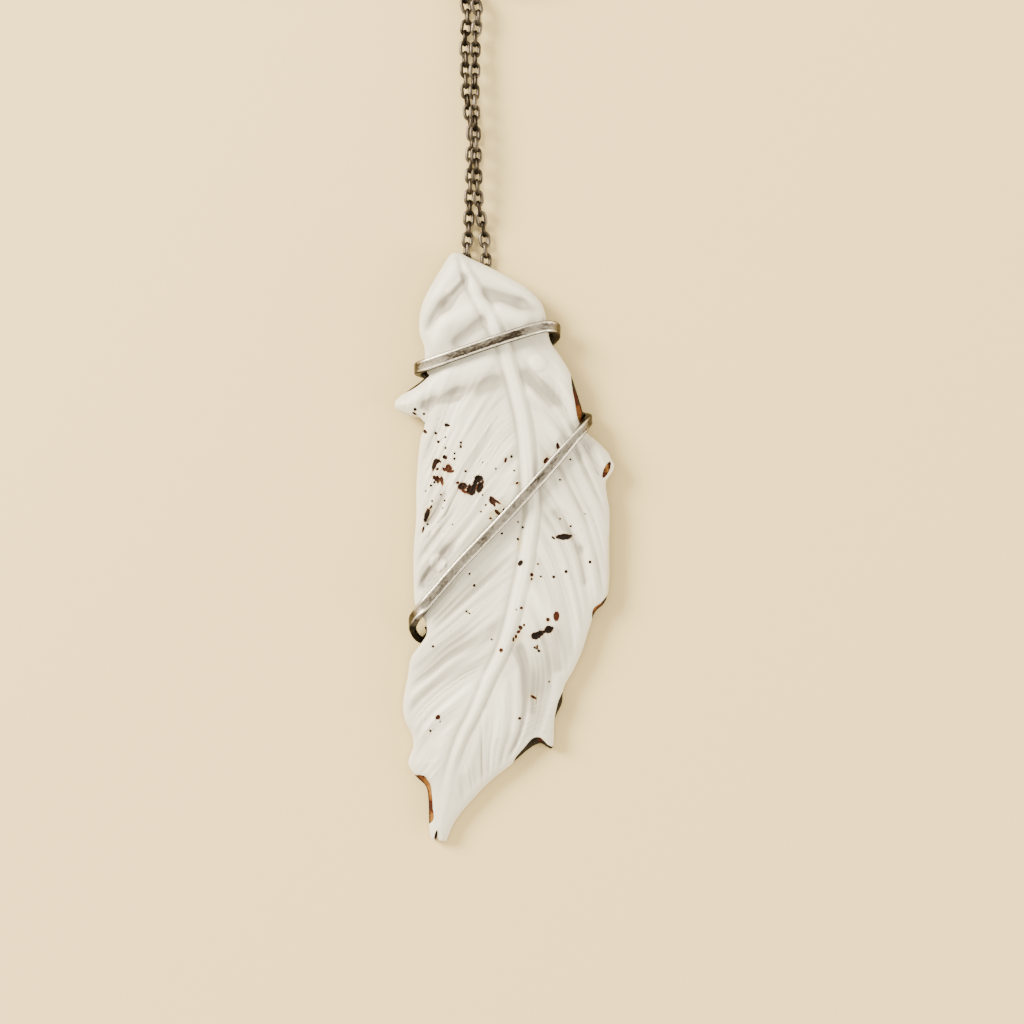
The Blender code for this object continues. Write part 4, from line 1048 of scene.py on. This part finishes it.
def wire_material():
    """Oxidised silver: sides blackened by painted shade, bright rubbed lines with a painted highlight by the
    edges, and a brown-grey mottled face.
    """
    n = Nodes("oxidised_silver", Metallic=1.0)
    from_end, across = n.attribute("from_end"), n.attribute("across")
    patch = n.streaks(from_end, across, 0.9, 3.5)
    streak = n.streaks(from_end, across, 0.16, 3.0)
    grain = n.noise(0.22, 4.0, 0.65)
    scratch = n.noise(0.12, 2.0)
    mottle = n.plus(n.plus(n.times(patch, 0.6), n.times(streak, 0.4)), n.attribute("tarnish"))
    face = n.mix(n.span(mottle, 0.44, 0.68), (0.34, 0.305, 0.265), (0.035, 0.026, 0.019))
    # Bright rubbed lines by the edges, which also carry a painted highlight where the face starts to round
    # over.
    place = n.vary(n.math("ABSOLUTE", across), grain, 0.35)
    rubbed_and_highlit = n.times(n.span(place, 0.52, 0.66), n.span(place, 0.80, 0.92, 1.0, 0.0))
    colour = n.mix(rubbed_and_highlit, face, (0.80, 0.745, 0.67))
    # Painted shade: every face of the wire that turns sideways or down goes near black.
    side = n.vary(n.attribute("upward"), grain, 0.3)
    colour = n.mix(n.span(side, 0.42, 0.85), (0.030, 0.021, 0.014), colour)
    # The eye at the wire's end, tucked under the plaque's edge, is black: oxidised, and in painted shade.
    colour = n.mix(n.span(from_end, 4.8, 5.8), (0.008, 0.006, 0.004), colour)
    return n.finish(colour, n.span(grain, 0.3, 0.7, 0.32, 0.52),
                    n.plus(n.times(grain, 0.7), n.times(scratch, 0.3)), 0.02, 0.5)


def chain_material():
    """Blackened silver links, rubbed brighter in places, with painted light on the flat links and painted
    shade towards each link's ends.
    """
    n = Nodes("blackened_silver", Metallic=1.0)
    grain = n.noise(0.12, 3.0, 0.6)
    tone = n.plus(n.times(n.attribute("tone"), 0.7), n.times(n.noise(0.6, 3.0, 0.6), 0.4))
    colour = n.mix(n.span(tone, 0.32, 0.85), (0.010, 0.007, 0.005), (0.135, 0.112, 0.092))
    return n.finish(colour, n.span(grain, 0.3, 0.7, 0.32, 0.50), grain, 0.01, 0.4)


def clasp_material():
    """The clasp's and bail's round silver wire, greyed, and darker in random patches."""
    n = Nodes("greyed_silver", Metallic=1.0)
    grain = n.noise(0.2, 3.0, 0.6)
    colour = n.mix(n.span(n.noise(1.2, 4.0, 0.6), 0.4, 0.65), (0.50, 0.47, 0.43), (0.12, 0.10, 0.082))
    return n.finish(colour, n.span(grain, 0.3, 0.7, 0.28, 0.46), grain, 0.01, 0.4)


def dress(piece, material, slot_name, *nodes):
    piece.data.materials.append(material)
    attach(piece, ROOT)
    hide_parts(*nodes)
    return piece


def build_object():
    plaque = Plaque()
    silver = wire_material()
    links = chain_material()
    plain = clasp_material()
    dress(build_plaque(plaque), glaze_material(), "white_glaze", "feather_plaque")
    dress(build_wire(plaque), silver, "dark_silver", "wrap_wire")
    dress(build_tube("chain_bail", bail_points(plaque), BAIL_WIRE), plain, "dark_silver", "bail")
    hook = dress(build_tube("hook_of_clasp", hook_points(), CLASP_WIRE), plain, "dark_silver", "clasp_hook")
    ring = dress(build_tube("ring_of_clasp", ring_points(), RING_WIRE, closed=True), plain, "dark_silver",
                 "clasp_ring")
    left = strand_path(LEFT_ROUTE, above=False, end_radius=4.1, turns=3 + 30 / 360)
    right = strand_path(RIGHT_ROUTE, above=True, end_radius=4.35, turns=3 + 210 / 360)
    left_chain = dress(build_chain("left_strand", left, 3.0), links, "blackened_silver",
                       "chain_left", "chain_coil")
    right_chain = dress(build_chain("right_strand", right, 7.0), links, "blackened_silver",
                        "chain_right", "chain_coil")


def build_floor():
    bpy.ops.mesh.primitive_plane_add(size=3.0, location=(0.0, 0.0, -0.00002))
    floor = bpy.context.object
    floor.name = "floor"
    plain = Nodes("pale_floor", Base_Color=FLOOR_COLOUR, Roughness=0.85, Specular_IOR_Level=0.2)
    floor.data.materials.append(plain.material)


def add_light(name, place, size, power):
    light = bpy.data.lights.new(name, "AREA")
    light.shape = "DISK"
    light.size = size
    light.energy = power
    light.color = WARM_WHITE
    lamp = bpy.data.objects.new(name, light)
    lamp.location = place
    lamp.rotation_euler = (-Vector(place)).to_track_quat("-Z", "Y").to_euler()
    bpy.context.scene.collection.objects.link(lamp)


def build_lights():
    world = bpy.data.worlds.new("soft_room")
    world.use_nodes = True
    background = world.node_tree.nodes["Background"]
    background.inputs["Color"].default_value = (*WARM_WHITE, 1.0)
    background.inputs["Strength"].default_value = 1.5
    bpy.context.scene.world = world
    add_light("window", (-0.62, 0.36, 0.46), 0.40, 26.5)
    add_light("far_window", (0.75, -0.20, 0.38), 0.50, 8.5)


def build_camera():
    data = bpy.data.cameras.new("photo_camera")
    data.sensor_width = SENSOR
    data.lens = SENSOR * CAMERA_DISTANCE / VIEW_WIDTH
    data.clip_start = 0.01
    data.clip_end = 10.0
    camera = bpy.data.objects.new("photo_camera", data)
    camera.location = (VIEW_CENTRE[0] * MM, VIEW_CENTRE[1] * MM, (CAMERA_DISTANCE + FEATHER_HEIGHT) * MM)
    bpy.context.scene.collection.objects.link(camera)
    bpy.context.scene.camera = camera


build_object()
build_floor()
build_lights()
build_camera()
